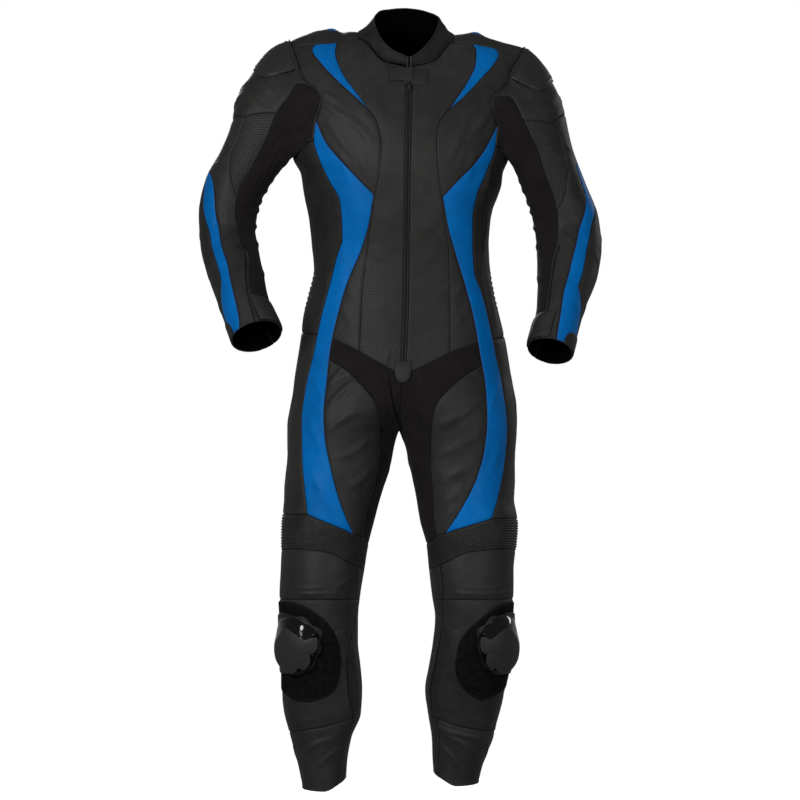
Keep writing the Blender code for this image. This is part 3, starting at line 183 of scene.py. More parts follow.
# Seams of the front, as their height and their distance out from the middle plane.
SEAMS = {"right": {"princess": table("z out", (-4, 120), (-22, 123), (-56, 112), (-94, 86), (-125, 64),
        (-148, 49), (-186, 42), (-230, 44), (-279, 53), (-333, 61), (-380, 67), (-450, 76), (-518, 79),
        (-560, 81)), "crescent": table("z out", (-7, 159), (-11, 164), (-17, 166), (-38, 153), (-72, 122),
        (-104, 87), (-125, 64 + TIP)), "armhole": table("z out", (-12, 201), (-45, 190), (-68, 182), (-88, 160),
        (-108, 149), (-125, 152), (-146, 158)), "blue_in": table("z out", (-146, 158), (-184, 141), (-221, 110),
        (-254, 79), (-275, 58.2), (-279, 53 + TIP), (-283, 54.8), (-336, 64), (-383, 79), (-432, 100),
        (-491, 118), (-553, 132), (-626, 140), (-671, 144), (-713, 142), (-770, 131), (-832, 114), (-889, 90)),
        "blue_out": table("z out", (-146, 158 + TIP), (-180, 163), (-218, 152), (-254, 135), (-288, 117),
        (-322, 113), (-356, 112), (-391, 122), (-443, 135), (-498, 150), (-562, 163), (-632, 179), (-684, 185),
        (-749, 184), (-810, 179), (-853, 174)), "stretch": table("z out", (-576, 134.7 - TIP), (-590, 108),
        (-617, 79), (-639, 59), (-664, 49), (-697, 41), (-729, 39), (-794, 50), (-857, 67), (-893, 72))},
    "left": {"princess": table("z out", (-6, 122), (-18, 129), (-41, 128), (-76, 113), (-104, 95), (-125, 81),
        (-148, 64), (-176, 59), (-228, 61), (-283, 68), (-346, 76), (-380, 81), (-450, 83), (-562, 83)),
        "crescent": table("z out", (-14, 162), (-18, 168), (-26, 171), (-41, 164), (-72, 137), (-101, 110),
        (-125, 81 + TIP)), "armhole": table("z out", (-26, 211), (-45, 198), (-62, 190), (-76, 188), (-90, 174),
        (-104, 159), (-118, 158), (-140, 163), (-155, 167)), "blue_in": table("z out", (-155, 167), (-180, 155),
        (-218, 131), (-254, 96), (-279, 72.9), (-283, 68 + TIP), (-287, 69.9), (-338, 79), (-387, 93),
        (-443, 110), (-504, 126), (-562, 136), (-632, 147), (-684, 149), (-736, 144), (-787, 130), (-839, 104),
        (-887, 73)), "blue_out": table("z out", (-155, 167 + TIP), (-190, 165), (-239, 148), (-281, 131),
        (-322, 124), (-367, 124), (-418, 127), (-454, 140), (-504, 153), (-558, 164), (-626, 178), (-697, 186),
        (-761, 181), (-819, 170), (-860, 158)), "stretch": table("z out", (-585, 139.5 - TIP), (-607, 104),
        (-630, 78), (-648, 62), (-675, 52), (-704, 48), (-761, 46), (-810, 50), (-857, 52), (-893, 58))}}

# Rows of the body grid that are seams, from the shoulder down.
TOP, CRESCENT_END, BLUE_TOP, UNDERARM, CORNER = 0, 4, 5, 6, 9
WAIST_V, THIGH_TOP, CROTCH = 15, 16, 19
KNEE_TOP, KNEE_LOW, KNEE_SEAM, SHIN_LOW, HEM = 25, 28, 30, 37, 39
BACK_TOP = 3           # first row of the back panel, at the yoke's seam

# Height of each seam where it crosses those rows.
ROW_HEIGHTS = {"right": {"centre": ((0, -47), (4, -125), (5, -150), (6, -182), (9, -279), (15, -603),
        (16, -632), (19, -702), (25, -905)), "princess": ((0, -4), (4, -125), (5, -150), (6, -182), (9, -279),
        (15, -560)), "crescent": ((0, -7), (4, -125)), "armhole": ((0, -12), (4, -122), (5, -146)),
        "blue_in": ((5, -146), (6, -184), (9, -279), (15, -536), (16, -576), (19, -650), (25, -889)),
        "blue_out": ((5, -146), (6, -180), (9, -286), (15, -530), (16, -568), (19, -645), (25, -853)),
        "stretch": ((16, -576), (19, -660), (25, -893)), "side_back": ((6, -200), (9, -290), (15, -522),
        (16, -560), (19, -640), (25, -851)), "back": ((3, -100), (6, -200), (9, -290), (15, -560), (16, -590),
        (19, -702), (25, -905))},
    "left": {"centre": ((0, -47), (4, -125), (5, -152), (6, -185), (9, -283), (15, -603), (16, -632),
        (19, -702), (25, -905)), "princess": ((0, -6), (4, -125), (5, -152), (6, -185), (9, -283), (15, -562)),
        "crescent": ((0, -14), (4, -125)), "armhole": ((0, -26), (4, -128), (5, -155)), "blue_in": ((5, -155),
        (6, -188), (9, -283), (15, -544), (16, -585), (19, -656), (25, -887)), "blue_out": ((5, -155),
        (6, -190), (9, -288), (15, -538), (16, -577), (19, -650), (25, -860)), "stretch": ((16, -585),
        (19, -664), (25, -893)), "side_back": ((6, -200), (9, -290), (15, -528), (16, -567), (19, -645),
        (25, -862)), "back": ((3, -100), (6, -200), (9, -290), (15, -560), (16, -590), (19, -702), (25, -905))}}

# Heights of the lower leg's seams round the leg, front from the inner to the outer side.
SHIN_ROWS = table("turn low seam shin hem", (-88, -955, -1006, -1212, -1324), (-45, -942, -1006, -1222, -1338),
    (0, -919, -1005, -1236, -1352), (55, -914, -1005, -1243, -1349), (110, -920, -1004, -1245, -1342))
CALF_ROWS = table("turn low seam shin hem", (110, -920, -1004, -1245, -1342), (190, -925, -1004, -1240, -1346),
    (272, -955, -1006, -1212, -1324))
HEM_RISE = {"right": 0.0, "left": 10.0}     # how much higher the hem of each leg ends
LEG_BACK_TURN = 110.0    # where the side and outer thigh panels end, behind the side line
INNER_TURN = -88.0       # inner seam of the leg
BACK_ARMHOLE = {"right": table("z out", (0, 204), (-25, 197), (-60, 189), (-100, 183), (-130, 182), (-165, 184),
        (-200, 188)),
    "left": table("z out", (0, 214), (-25, 205), (-60, 193), (-100, 183), (-130, 178), (-165, 175),
        (-200, 174))}

YOKE_EDGE = (-25, -60)   # heights of the yoke's points between the ridge and its back seam

# Neckline: its height and lean at centre back, and two points on its front, as distance out and height.
NECK_BACK, NECK_BACK_X = 16.0, 8.0
NECK_FRONT = {"right": ((37, -34), (80, 3)), "left": ((54, -34), (88, -4))}


# Sleeve seams: the turn at which each lies, for its runs.
SLEEVE_SEAMS = {"right": {"stretch": table("run turn", (0, 5), (0.01, 13), (0.033, 18), (0.065, 14), (0.12, 8),
        (0.16, 5), (0.267, -11), (0.384, -13), (0.479, -10), (0.554, -14), (0.642, -23), (0.742, -27),
        (0.757, -37), (0.858, -26), (0.949, -15), (1.0, -8)), "grid": table("run turn", (0.285, 37), (0.35, 40),
        (0.40, 41), (0.44, 30), (0.484, 10), (0.53, -11)), "stripe_in": table("run turn", (0.33, 84),
        (0.488, 86), (0.50, 62), (0.523, 45), (0.587, 27), (0.673, 17), (0.808, 17), (0.88, 22), (0.95, 29),
        (0.976, 34), (1.0, 43)), "stripe_out": table("run turn", (0.33, 85), (0.488, 87), (0.53, 82),
        (0.562, 71), (0.707, 41), (0.826, 43), (0.865, 46), (0.893, 57), (0.925, 73), (0.95, 83), (1.0, 90))},
    "left": {"stretch": table("run turn", (0, 0), (0.03, 6), (0.066, 10), (0.132, 5), (0.17, 0), (0.288, -9),
        (0.432, -9), (0.532, -10), (0.611, -17), (0.707, -25), (0.812, -37), (0.952, -40), (1.0, -40)),
        "grid": table("run turn", (0.315, 30), (0.40, 49), (0.447, 46), (0.492, 27), (0.554, 1), (0.57, -12)),
        "stripe_in": table("run turn", (0.33, 84), (0.45, 86), (0.478, 66), (0.543, 59), (0.60, 38),
        (0.663, 19), (0.78, 7), (0.891, 3), (0.95, 8), (1.0, 15)), "stripe_out": table("run turn", (0.33, 85),
        (0.45, 87), (0.50, 86), (0.572, 82), (0.652, 48), (0.758, 34), (0.872, 34), (0.90, 48), (0.938, 74),
        (0.96, 83), (1.0, 88))}}
# Run at which each seam crosses the sleeve's rows.
SLEEVE_ROWS = {"right": {"stretch": ((0, 0), (1, 0.065), (4, 0.17), (8, 0.53), (13, 1)), "grid": ((4, 0.285),
        (8, 0.53)), "stripe": ((4, 0.34), (6, 0.488), (8, 0.587), (13, 1)), "back": ((0, 0), (4, 0.33),
        (13, 1))},
    "left": {"stretch": ((0, 0), (1, 0.065), (4, 0.18), (8, 0.57), (13, 1)), "grid": ((4, 0.315), (8, 0.57)),
        "stripe": ((4, 0.34), (6, 0.45), (8, 0.60), (13, 1)), "back": ((0, 0), (4, 0.33), (13, 1))}}

# Top edge of the collar, from the zip (share 0) to centre back (share 1).
COLLAR_TOP = table("share x_right x_left y z_right z_left", (0.0, 4, 14, -66, -29, -29),
    (0.1, -22, 30, -60, -16, -18), (0.2, -41, 44, -44, 4, -2), (0.3, -49, 56, -28, 21, 16),
    (0.4, -53, 62, -10, 35, 32), (0.5, -52, 63, 8, 45, 42), (0.6, -48, 56, 24, 51, 47),
    (0.7, -40, 48, 38, 55.5, 51), (0.8, -25, 36, 48, 58, 55), (0.9, -10, 22, 54, 59.5, 58),
    (1.0, 6, 6, 56, 60, 60))
COLLAR_BULGE = {"right": 3.0, "left": 1.0}
COLLAR_FLARE = {"right": 7.0, "left": 5.0}   # how far its foot laps over the shoulder
NECK_SAG = 3.0
NECK_MIDDLE = np.array([6.0, 0.0, 0.0])


# --- the smooth surfaces ---

def ridge_height(side, out, behind=False):
    """Return the height of the shoulder's ridge."""
    return column(RIDGE, ("back_" if behind else "") + side, np.abs(out))


def closure(side, out, z, behind):
    """Return how full the section is near the shoulder's ridge: the sine of an ellipse whose cosine
    falls evenly from the ridge down to its reach."""
    depth = (ridge_height(side, out, behind) - z) / column(RIDGE, "reach", np.abs(out))
    return np.sqrt(1 - (1 - within(depth)) ** 2)


def section(side, z, behind):
    """Return the outer line and the half width of the body's section at a height."""
    z = np.asarray(z, float)
    outer = column(OUTER, side, z)
    inner = np.where(z > FORK, SIDES[side] * column(CENTRE, "x", z),
                     column(INNER, side, z))
    start = np.where(behind, SEAT_TOP, FORK_TOP)
    return outer, (outer - inner) / (1 + within((start - z) / (start - FORK)))


def body(side, turn, z):
    """Return the body's points for turns in degrees and heights.

    Above the crotch the section is half an ellipse: out is the outer line less half the width times
    1 - sin(turn), and y is the middle less the depth times cos(turn). Towards the crotch the ellipse
    closes further round, and below it becomes the leg's whole ellipse."""
    angle = np.radians(turn)
    z = np.asarray(z, float) + 0 * angle
    behind = np.cos(angle) < 0
    outer, half = section(side, z, behind)
    out = outer - half + half * np.sin(angle)
    depth = np.where(behind, column(DEPTH, "back", z), column(DEPTH, "front", z))
    full = np.where(behind, closure(side, out, z, True), closure(side, out, z, False))
    y = column(DEPTH, "middle", z) - depth * full * np.cos(angle)
    return np.stack([SIDES[side] * out, y, z], -1)


def turn_at(side, out, z, behind=False):
    """Return the turn at which the body is a distance out from the middle plane, at a height."""
    outer, half = section(side, z, behind)
    turn = np.degrees(np.arcsin(np.clip((out - outer + half) / half, -1, 1)))
    return np.where(behind, 180 - turn, turn)


def row_height(side, seam, row):
    """Return a seam's height on a row, straight between the rows that its table names."""
    keys = ROW_HEIGHTS[side][seam]
    return np.interp(row, [k[0] for k in keys], [k[1] for k in keys])


def at_seam(side, seam, row, off=0.0):
    """Return the turn and height of a front seam on a row, moved out by off."""
    z = row_height(side, seam, row)
    line = SEAMS[side][seam]
    return turn_at(side, column(line, "out", z) + off, z), z


def at_centre(side, row, off=0.0):
    """Return the turn and height of the centre front line, and below the crotch the inner seam."""
    row = np.asarray(row, float)
    z = row_height(side, "centre", row)
    front = turn_at(side, SIDES[side] * column(CENTRE, "x", z) + off, z)
    fork = within((FORK_TOP - z) / (FORK_TOP - FORK))
    front = np.where(z < FORK_TOP, -np.degrees(np.arcsin(fork)), front)
    leg = -90 + (INNER_TURN + 90) * (row - CROTCH) / (KNEE_TOP - CROTCH)
    return np.where(row < CROTCH, front, leg), z


def at_zip(side, row):
    """Return the turn and height of the zip's edge. At its foot it lies on the crotch panel's edge."""
    turn, z = at_centre(side, row, ZIP_HALF)
    middle, princess = at_centre(side, row), at_seam(side, "princess", row)
    foot = within(np.asarray(row, float) - WAIST_V + 1)
    return turn, z + foot * (princess[1] - middle[1]) * (turn - middle[0]) / (princess[0] - middle[0])


def at_side_back(side, row):
    """Return the turn and height of the side panel's back seam, and above it of the back armhole."""
    row = np.asarray(row, float)
    high = row_height(side, "back", row)
    line = BACK_ARMHOLE[side]
    arm = turn_at(side, column(line, "out", high), high, True)
    low = row_height(side, "side_back", row)
    first = turn_at(side, line["out"][0], row_height(side, "side_back", UNDERARM), True)
    share = within((row - UNDERARM) / (WAIST_V - UNDERARM))
    above = row < UNDERARM
    return np.where(above, arm, first + (LEG_BACK_TURN - first) * share), np.where(above, high, low)


def at_back(side, row):
    """Return the turn and height of the centre back line, and below the crotch the inner seam."""
    row = np.asarray(row, float)
    z = row_height(side, "back", row)
    seat = 180 + np.degrees(np.arcsin(within((SEAT_TOP - z) / (SEAT_TOP - FORK))))
    leg = 270 + (INNER_TURN + 90) * (row - CROTCH) / (KNEE_TOP - CROTCH)
    return np.where(row < CROTCH, seat, leg), z


# --- panels of the body: turns and heights for rows of the grid and shares across ---

def neck_line(side, share):
    """Return the front neckline from the zip to the princess seam."""
    points = [at_zip(side, TOP), *((turn_at(side, out, z), z) for out, z in NECK_FRONT[side]),
              at_seam(side, "princess", TOP)]
    stops, low = np.array([0, 1 / 3, 2 / 3, 1]), within(share * 1.5)
    marks = (np.array([float(np.ravel(point[k])[0]) for point in points]) for k in (0, 1))
    turn, z = towards(pick(stops, points, share), [smooth(stops, mark, share) for mark in marks], low < 1)
    return turn, z - NECK_SAG * np.sin(np.pi * low) ** 2 * (low < 1)


def front_centre(side, row, share):
    """Return the centre front panel. Its first rows ease down from the neckline."""
    turn, z = between(at_zip(side, row), at_seam(side, "princess", row), share)
    neck = neck_line(side, share)
    even = between(at_zip(side, TOP), at_seam(side, "princess", TOP), share)
    ease = within(1 - row / 2)[:, None]
    return turn + ease ** 1.6 * (neck[0] - even[0]), z + ease ** 2 * (neck[1] - even[1])


def crotch_row(side, share):
    """Return the top edge of the crotch panel: centre to princess seam to blue edge."""
    points = (at_centre(side, WAIST_V), at_seam(side, "princess", WAIST_V), at_seam(side, "blue_in", WAIST_V))
    return pick((0, 0.6, 1), points, share)


def crotch(side, row, share):
    """Return the stretch panel over the crotch and the inner thigh."""
    low = np.maximum(row, THIGH_TOP)
    fork = within((FORK_TOP - row_height(side, "centre", low)) / (FORK_TOP - FORK))
    turn, z = between(at_centre(side, low), at_seam(side, "stretch", low), share, 1 + fork)
    top = crotch_row(side, share)
    up = within(THIGH_TOP - row)[:, None]
    first, last = at_centre(side, row), at_seam(side, "blue_in", row, -TIP * within(row - WAIST_V))
    lift, drop = (up > 0) * share, (up > 0) * (1 - share)
    return tuple(a + drop * (start[:, None] - a[:, :1]) + lift * (end[:, None] - a[:, -1:])
                 for a, start, end in zip(towards((turn, z), top, up), first, last))


def lower_leg(side, row, share, rows=SHIN_ROWS):
    """Return the leg below the knee on even turns, its heights straight between its seams' rows."""
    turn = rows["turn"][0] + (rows["turn"][-1] - rows["turn"][0]) * share
    level = np.array([column(rows, name, turn) for name in ("low", "seam", "shin", "hem")])
    level[-1] += HEM_RISE[side]
    stops = np.array([KNEE_LOW, KNEE_SEAM, SHIN_LOW, HEM], float)
    k = np.clip(np.searchsorted(stops, row, side="right") - 1, 0, 2)
    t = ((row - stops[k]) / (stops[k + 1] - stops[k]))[:, None]
    z = level[k] + (level[k + 1] - level[k]) * t
    return turn[None, :] + 0 * z, z


def knee_front(side, row, share):
    """Return the accordion over the knee, from the thigh's low edge down to the knee panel."""
    ends = [at_centre(side, KNEE_TOP), at_seam(side, "stretch", KNEE_TOP), at_seam(side, "blue_in", KNEE_TOP),
            at_seam(side, "blue_out", KNEE_TOP), at_side_back(side, KNEE_TOP)]
    turn, z = pick((0, 5 / 12, 7 / 12, 9 / 12, 1), ends, share)
    inside = within(share * 12 / 5)
    z = np.where(share < 5 / 12, ends[0][1] + (ends[1][1] - ends[0][1]) * inside ** 2, z)
    low = lower_leg(side, np.array([KNEE_LOW]), share)
    return towards((turn, z), low, ((row - KNEE_TOP) / (KNEE_LOW - KNEE_TOP))[:, None])


def calf(side, row, share):
    """Return the back of the leg, from the seat panel's low edge to the hem."""
    top = between(at_side_back(side, KNEE_TOP), at_back(side, KNEE_TOP), share)
    low = lower_leg(side, np.maximum(row, KNEE_LOW), share, CALF_ROWS)
    return towards(top, low, within((row - KNEE_TOP) / (KNEE_LOW - KNEE_TOP))[:, None])


def strip(first, last):
    """Return a panel between two lines, each a function of side and row."""
    return lambda side, row, share: between(first(side, row), last(side, row), share)


def seam(name):
    """Return a front seam as a function of side and row."""
    return lambda side, row: at_seam(side, name, row)


def inner_chest(side, row):
    """Return the chest panel's inner edge: the crescent, then the princess seam."""
    low = within((row - CRESCENT_END) * 8)
    return towards(at_seam(side, "crescent", np.minimum(row, CRESCENT_END)), at_seam(side, "princess", row), low)


def outer_chest(side, row):
    """Return the chest panel's outer edge: the armhole, then the blue panel's edge."""
    arm, blue = at_seam(side, "armhole", row), at_seam(side, "blue_in", row)
    return tuple(np.where(row < BLUE_TOP, a, b) for a, b in zip(arm, blue))


# Panels of the body: first and last row, the surface, and a row kept exactly.
BODY_PANELS = {"front_centre": (TOP, WAIST_V, front_centre, None),
    "crescent": (TOP, CRESCENT_END, strip(seam("princess"), seam("crescent")), None),
    "chest": (TOP, CORNER, strip(inner_chest, outer_chest), CRESCENT_END),
    "belly": (CORNER, WAIST_V, strip(seam("princess"), seam("blue_in")), None),
    "blue_side": (BLUE_TOP, KNEE_TOP, strip(seam("blue_in"), seam("blue_out")), CORNER),
    "side": (UNDERARM, WAIST_V, strip(seam("blue_out"), at_side_back), None),
    "outer_thigh": (WAIST_V, KNEE_TOP, strip(seam("blue_out"), at_side_back), None),
    "stretch": (WAIST_V, KNEE_TOP, crotch, THIGH_TOP),
    "thigh": (THIGH_TOP, KNEE_TOP, strip(seam("stretch"), seam("blue_in")), None),
    "accordion": (KNEE_TOP, KNEE_LOW, knee_front, None),
    "knee": (KNEE_LOW, KNEE_SEAM, lower_leg, None),
    "shin": (KNEE_SEAM, SHIN_LOW, lower_leg, None),
    "ankle": (SHIN_LOW, HEM, lower_leg, None),
    "seat": (WAIST_V, KNEE_TOP, strip(at_side_back, at_back), CROTCH),
    "calf": (KNEE_TOP, HEM, calf, None),
    "back": (BACK_TOP, WAIST_V, strip(at_side_back, at_back), UNDERARM)}


# --- the sleeves ---

UPPER_END, STRIPE_TOP, GRID_END, CUFF_ROW = 4, 6, 8, 13
ARM_BACK_TURN = -135.0   # back seam of the stretch panel inside the arm
FADE_RUN = 0.4           # run over which the sleeve leaves the armhole's own shape
LOOP_FINE = 10           # points of the armhole to each row of the front and the back


def over_shoulder(side, out, fall):
    """Return points near the ridge from how far out they are and their fall, which is the square root
    of their depth under the ridge, less than 0 in front. Even steps of fall are even steps of y."""
    z = np.where(fall > 0, ridge_height(side, out, True), ridge_height(side, out)) - fall ** 2
    return body(side, turn_at(side, out, z, fall > 0), z)


def fall_at(side, out, z, behind):
    """Return the fall of a point near the ridge."""
    return np.sqrt(np.maximum(ridge_height(side, out, behind) - z, 0)) * (1 if behind else -1)


def back_edge(side, place):
    """Return out and fall along the yoke's outer edge, from the ridge (0) to the back seam (3)."""
    line = BACK_ARMHOLE[side]
    top = ridge_height(side, line["out"][-1])
    falls = [0.0] + [math.sqrt(top - z) for z in (*YOKE_EDGE, row_height(side, "back", BACK_TOP))]
    z = top - np.interp(place, (0, 1, 2, 3), falls) ** 2
    out = column(line, "out", z)
    return out, fall_at(side, out, z, True)


def armhole_loop(side):
    """Return the armhole's points, from the shoulder's ridge down the front and up the back."""
    step = np.arange(LOOP_FINE) / LOOP_FINE
    row = np.arange(4 * LOOP_FINE) / LOOP_FINE
    top = at_seam(side, "armhole", TOP)
    tip = BACK_ARMHOLE[side]["out"][-1]
    front = float(np.abs(body(side, *top)[0]))
    start = float(fall_at(side, front, top[1], False))
    parts = [over_shoulder(side, tip + (front - tip) * step, start * step)]
    parts += [body(side, *line) for line in (
        at_seam(side, "armhole", row), at_seam(side, "armhole", CRESCENT_END + step, TIP * step),
        at_seam(side, "blue_out", BLUE_TOP + step))]
    under = np.arange(3 * LOOP_FINE) / (3 * LOOP_FINE)
    turn, z = between(at_seam(side, "blue_out", UNDERARM), at_side_back(side, UNDERARM), under)
    parts += [body(side, turn[0], z[0]), body(side, *at_side_back(side, UNDERARM - 3 * under))]
    parts.append(over_shoulder(side, *back_edge(side, 3 - 3 * under)))
    return np.concatenate(parts)


LOOPS = {side: armhole_loop(side) for side in SIDES}


def sleeve(side, turn, run, joined=True):
    """Return the sleeve's points: ellipses on slanted sections, their centres and sizes by run. Near
    the armhole each moves by its edge point's distance from the first ellipse, fading with the run."""
    sections = SLEEVE[side]
    turn = np.asarray(turn, float)
    run = np.asarray(run, float) + 0 * turn
    value = {name: column(sections, name, run) for name in sections}
    angle = np.radians(turn)
    out = (value["out_x"] + value["in_x"]) / 2 + (value["out_x"] - value["in_x"]) / 2 * np.sin(angle)
    z = ((value["out_z"] + value["in_z"]) / 2 + (value["out_z"] - value["in_z"]) / 2 * np.sin(angle)
         + value["lift"] * np.cos(angle))
    points = np.stack([SIDES[side] * out, value["middle"] - value["depth"] * np.cos(angle), z], -1)
    if not joined:
        return points
    loop = LOOPS[side]
    place = ((90 - turn) % 360) / 360 * len(loop)
    k = np.floor(place).astype(int) % len(loop)
    t = (place - np.floor(place))[..., None]
    edge = loop[k] * (1 - t) + loop[(k + 1) % len(loop)] * t
    fade = (within(1 - run / FADE_RUN) ** 2)[..., None]
    return points + fade * (edge - sleeve(side, turn, np.zeros_like(run), False))


def arm_seam(name):
    """Return a sleeve seam's turn and run as a function of side and row."""
    def line(side, row):
        keys = SLEEVE_ROWS[side][name.split("_")[0]]
        run = np.interp(row, [k[0] for k in keys], [k[1] for k in keys])
        if name.startswith("back"):
            return 0 * run + ARM_BACK_TURN + (360 if name == "back_far" else 0), run
        turns = SLEEVE_SEAMS[side][name]
        return column(turns, "turn", run), run
    return line


def passing(first, last, row_between):
    """Return a line that goes over from the first seam to the last at a row."""
    def line(side, row):
        share = within((np.asarray(row, float) - row_between) * 8)
        return towards(arm_seam(first)(side, row), arm_seam(last)(side, row), share)
    return line


def upper_arm(side, row, share):
    """Return the upper arm from the armhole to its low seam, eased to the stretch panel's edge."""
    start, far = arm_seam("stretch"), arm_seam("back_far")
    top = between(start(side, 0.0), far(side, 0.0), share)
    ends = [arm_seam(name)(side, UPPER_END) for name in ("stretch", "grid", "stripe_in", "back_far")]
    low = pick((0, 0.2, 0.4, 1), ends, share)
    made = towards(top, low, (row / UPPER_END)[:, None])
    return tuple(a + (1 - share) ** 4 * (edge[:, None] - a[:, :1]) for a, edge in zip(made, start(side, row)))


SLEEVE_PANELS = {"arm_stretch": (0, CUFF_ROW, strip(arm_seam("back"), arm_seam("stretch")), None),
    "upper_arm": (0, UPPER_END, upper_arm, None),
    "arm_grid": (UPPER_END, GRID_END, strip(arm_seam("stretch"), arm_seam("grid")), None),
    "forearm": (UPPER_END, CUFF_ROW, strip(passing("grid",
        "stretch", GRID_END), arm_seam("stripe_in")), GRID_END),
    "blue_stripe": (STRIPE_TOP, CUFF_ROW, strip(arm_seam("stripe_in"), arm_seam("stripe_out")), None),
    "elbow": (UPPER_END, CUFF_ROW, strip(passing("stripe_in",
        "stripe_out", STRIPE_TOP), arm_seam("back_far")), STRIPE_TOP)}


# --- shoulders, collar and zip ---

def neck_back(side, place):
    """Return out and height of the neckline behind the ridge, a quarter of an ellipse."""
    half = NECK_FRONT[side][1][0]
    middle = SIDES[side] * NECK_BACK_X
    angle = np.pi / 2 * np.asarray(place, float)
    start = ridge_height(side, half)
    return middle + (half - middle) * np.cos(angle), start + (NECK_BACK - start) * np.sin(angle)


def yoke_half(side, step):
    """Return half of the yoke, from the front seam over the ridge to centre back: points straight
    between its edges in their distance out and their fall from the ridge."""
    share = spaced(110, step)
    marks = [at_seam(side, name, TOP) for name in ("armhole", "crescent", "princess")]
    half_way = tuple((a + b) / 2 for a, b in zip(marks[0], marks[1]))
    points = [marks[0], half_way, marks[1], marks[2], (turn_at(side, *NECK_FRONT[side][1]), NECK_FRONT[side][1][1])]
    turn, z = pick((0, 0.25, 0.5, 0.75, 1), points, share)
    out = np.abs(body(side, turn, z)[..., 0])
    tip, half = BACK_ARMHOLE[side]["out"][-1], NECK_FRONT[side][1][0]
    ridge_out = tip + (half - tip) * share
    t = spaced(40, step)[:, None]
    front_out, front_fall = out + (ridge_out - out) * t, fall_at(side, out, z, False) * (1 - t)
    rows = spaced(240, step)[1:] * 7
    edge_out, edge_fall = back_edge(side, np.clip(rows, 0, 3))
    low = between(at_side_back(side, BACK_TOP), at_back(side, BACK_TOP), within((rows - 3) / 4))
    low_out = SIDES[side] * body(side, low[0][0], low[1][0])[:, 0]
    edge_out = np.where(rows > 3, low_out, edge_out)
    edge_fall = np.where(rows > 3, fall_at(side, low_out, low[1][0], True), edge_fall)
    neck_out, neck_z = neck_back(side, rows / 7)
    back = between((edge_out, edge_fall), (neck_out, fall_at(side, neck_out, neck_z, True)), share)
    return over_shoulder(side, *(np.concatenate(both) for both in zip((front_out, front_fall), back)))


def collar_half(side, share, rise):
    """Return half of the collar by share from the zip: up each column, from its foot (rise 0) to its
    edge (rise 1), it is the parabola through the foot, a bulged middle and the edge."""
    place = share * 10
    turn, z = neck_line(side, np.clip(place, 0, 2) / 3)
    front = body(side, turn, z)
    out, low = NECK_FRONT[side][1]
    start = float(fall_at(side, out, low, False))
    ridge = over_shoulder(side, out + 0 * share, start * within(3 - place))
    back_out, back_z = neck_back(side, np.clip(place - 3, 0, 7) / 7)
    back = body(side, turn_at(side, back_out, back_z, True), back_z)
    foot = np.where((place < 2)[:, None], front, np.where((place < 3)[:, None], ridge, back))
    edge = np.stack([column(COLLAR_TOP, name, share) for name in ("x_" + side, "y", "z_" + side)], -1)
    foot = foot + hat(place - 3, 1.6)[:, None] * [SIDES[side] * COLLAR_FLARE[side], 0, 0.5]
    away = ((foot + edge) / 2 - NECK_MIDDLE) * [1, 1, 0]
    middle = (foot + edge) / 2 + COLLAR_BULGE[side] * unit(away)
    v = rise[:, None, None]
    return foot * (1 - v) * (1 - 2 * v) + middle * 4 * v * (1 - v) + edge * v * (2 * v - 1)


# --- cloth from a grid of points ---

NEAR_EDGE = (1.3, 3.4)   # distances from an edge where a piece always has points

def spaced(length, step):
    """Return shares from 0 to 1 about a step apart, with extra ones close to both ends."""
    near = [min(d / length, limit) for d, limit in zip(NEAR_EDGE, (0.12, 0.3))]
    count = max(int(round(length * (1 - 2 * near[1]) / step)), 1)
    middle = np.linspace(near[1], 1 - near[1], count + 1)
    return np.concatenate([[0, near[0]], middle, [1 - near[0], 1]])


def lengths(points, axis):
    """Return the running length along one axis of a grid of points."""
    step = np.linalg.norm(np.diff(points, axis=axis), axis=-1)
    start = np.zeros_like(np.take(step, [0], axis=axis))
    return np.concatenate([start, np.cumsum(step, axis=axis)], axis=axis)


def panel_rows(place, side, first, last, surface, kept, step):
    """Return a panel's rows, evenly spaced down its middle, with one of them kept exactly."""
    dense = np.linspace(first, last, 201)
    run = lengths(place(side, *surface(side, dense, np.array([0.1, 0.5, 0.9]))), 0).mean(axis=1)
    rows = np.interp(spaced(run[-1], step[1]) * run[-1], run, dense)
    if kept is not None:
        rows[np.argmin(np.abs(rows - kept))] = kept
    return rows


def panel_points(place, side, first, last, surface, kept, step, rows=None):
    """Return a panel's grid of points, its columns running outwards over the front."""
    dense = np.linspace(first, last, 201)
    width = lengths(place(side, *surface(side, dense, np.linspace(0, 1, 9))), 1)[:, -1].max()
    rows = panel_rows(place, side, first, last, surface, kept, step) if rows is None else rows
    return outwards(side, place(side, *surface(side, rows, spaced(width, step[0]))))


def normals(points):
    """Return unit normals of a grid: the cross product of its steps across and down."""
    return unit(np.cross(np.gradient(points, axis=1), np.gradient(points, axis=0)))


class Measure:
    """Distances of a grid's points from its edges, in millimetres: left, right, top and bottom."""

    def __init__(self, points):
        self.across, self.down = lengths(points, 1), lengths(points, 0)
        self.left, self.right = self.across, self.across[:, -1:] - self.across
        self.top, self.bottom = self.down, self.down[-1:] - self.down
        self.side, self.end = np.minimum(self.left, self.right), np.minimum(self.top, self.bottom)
        self.near = np.minimum(self.side, self.end)
        self.row = self.down / np.maximum(self.down[-1:], 1e-6)
        self.column = self.across / np.maximum(self.across[:, -1:], 1e-6)


def grid_faces(rows, cols):
    """Return the quads of a grid, turned so that across times down points outwards."""
    place = np.arange(rows * cols).reshape(rows, cols)
    return np.stack([place[:-1, :-1], place[:-1, 1:], place[1:, 1:], place[1:, :-1]], -1).reshape(-1, 4).tolist()


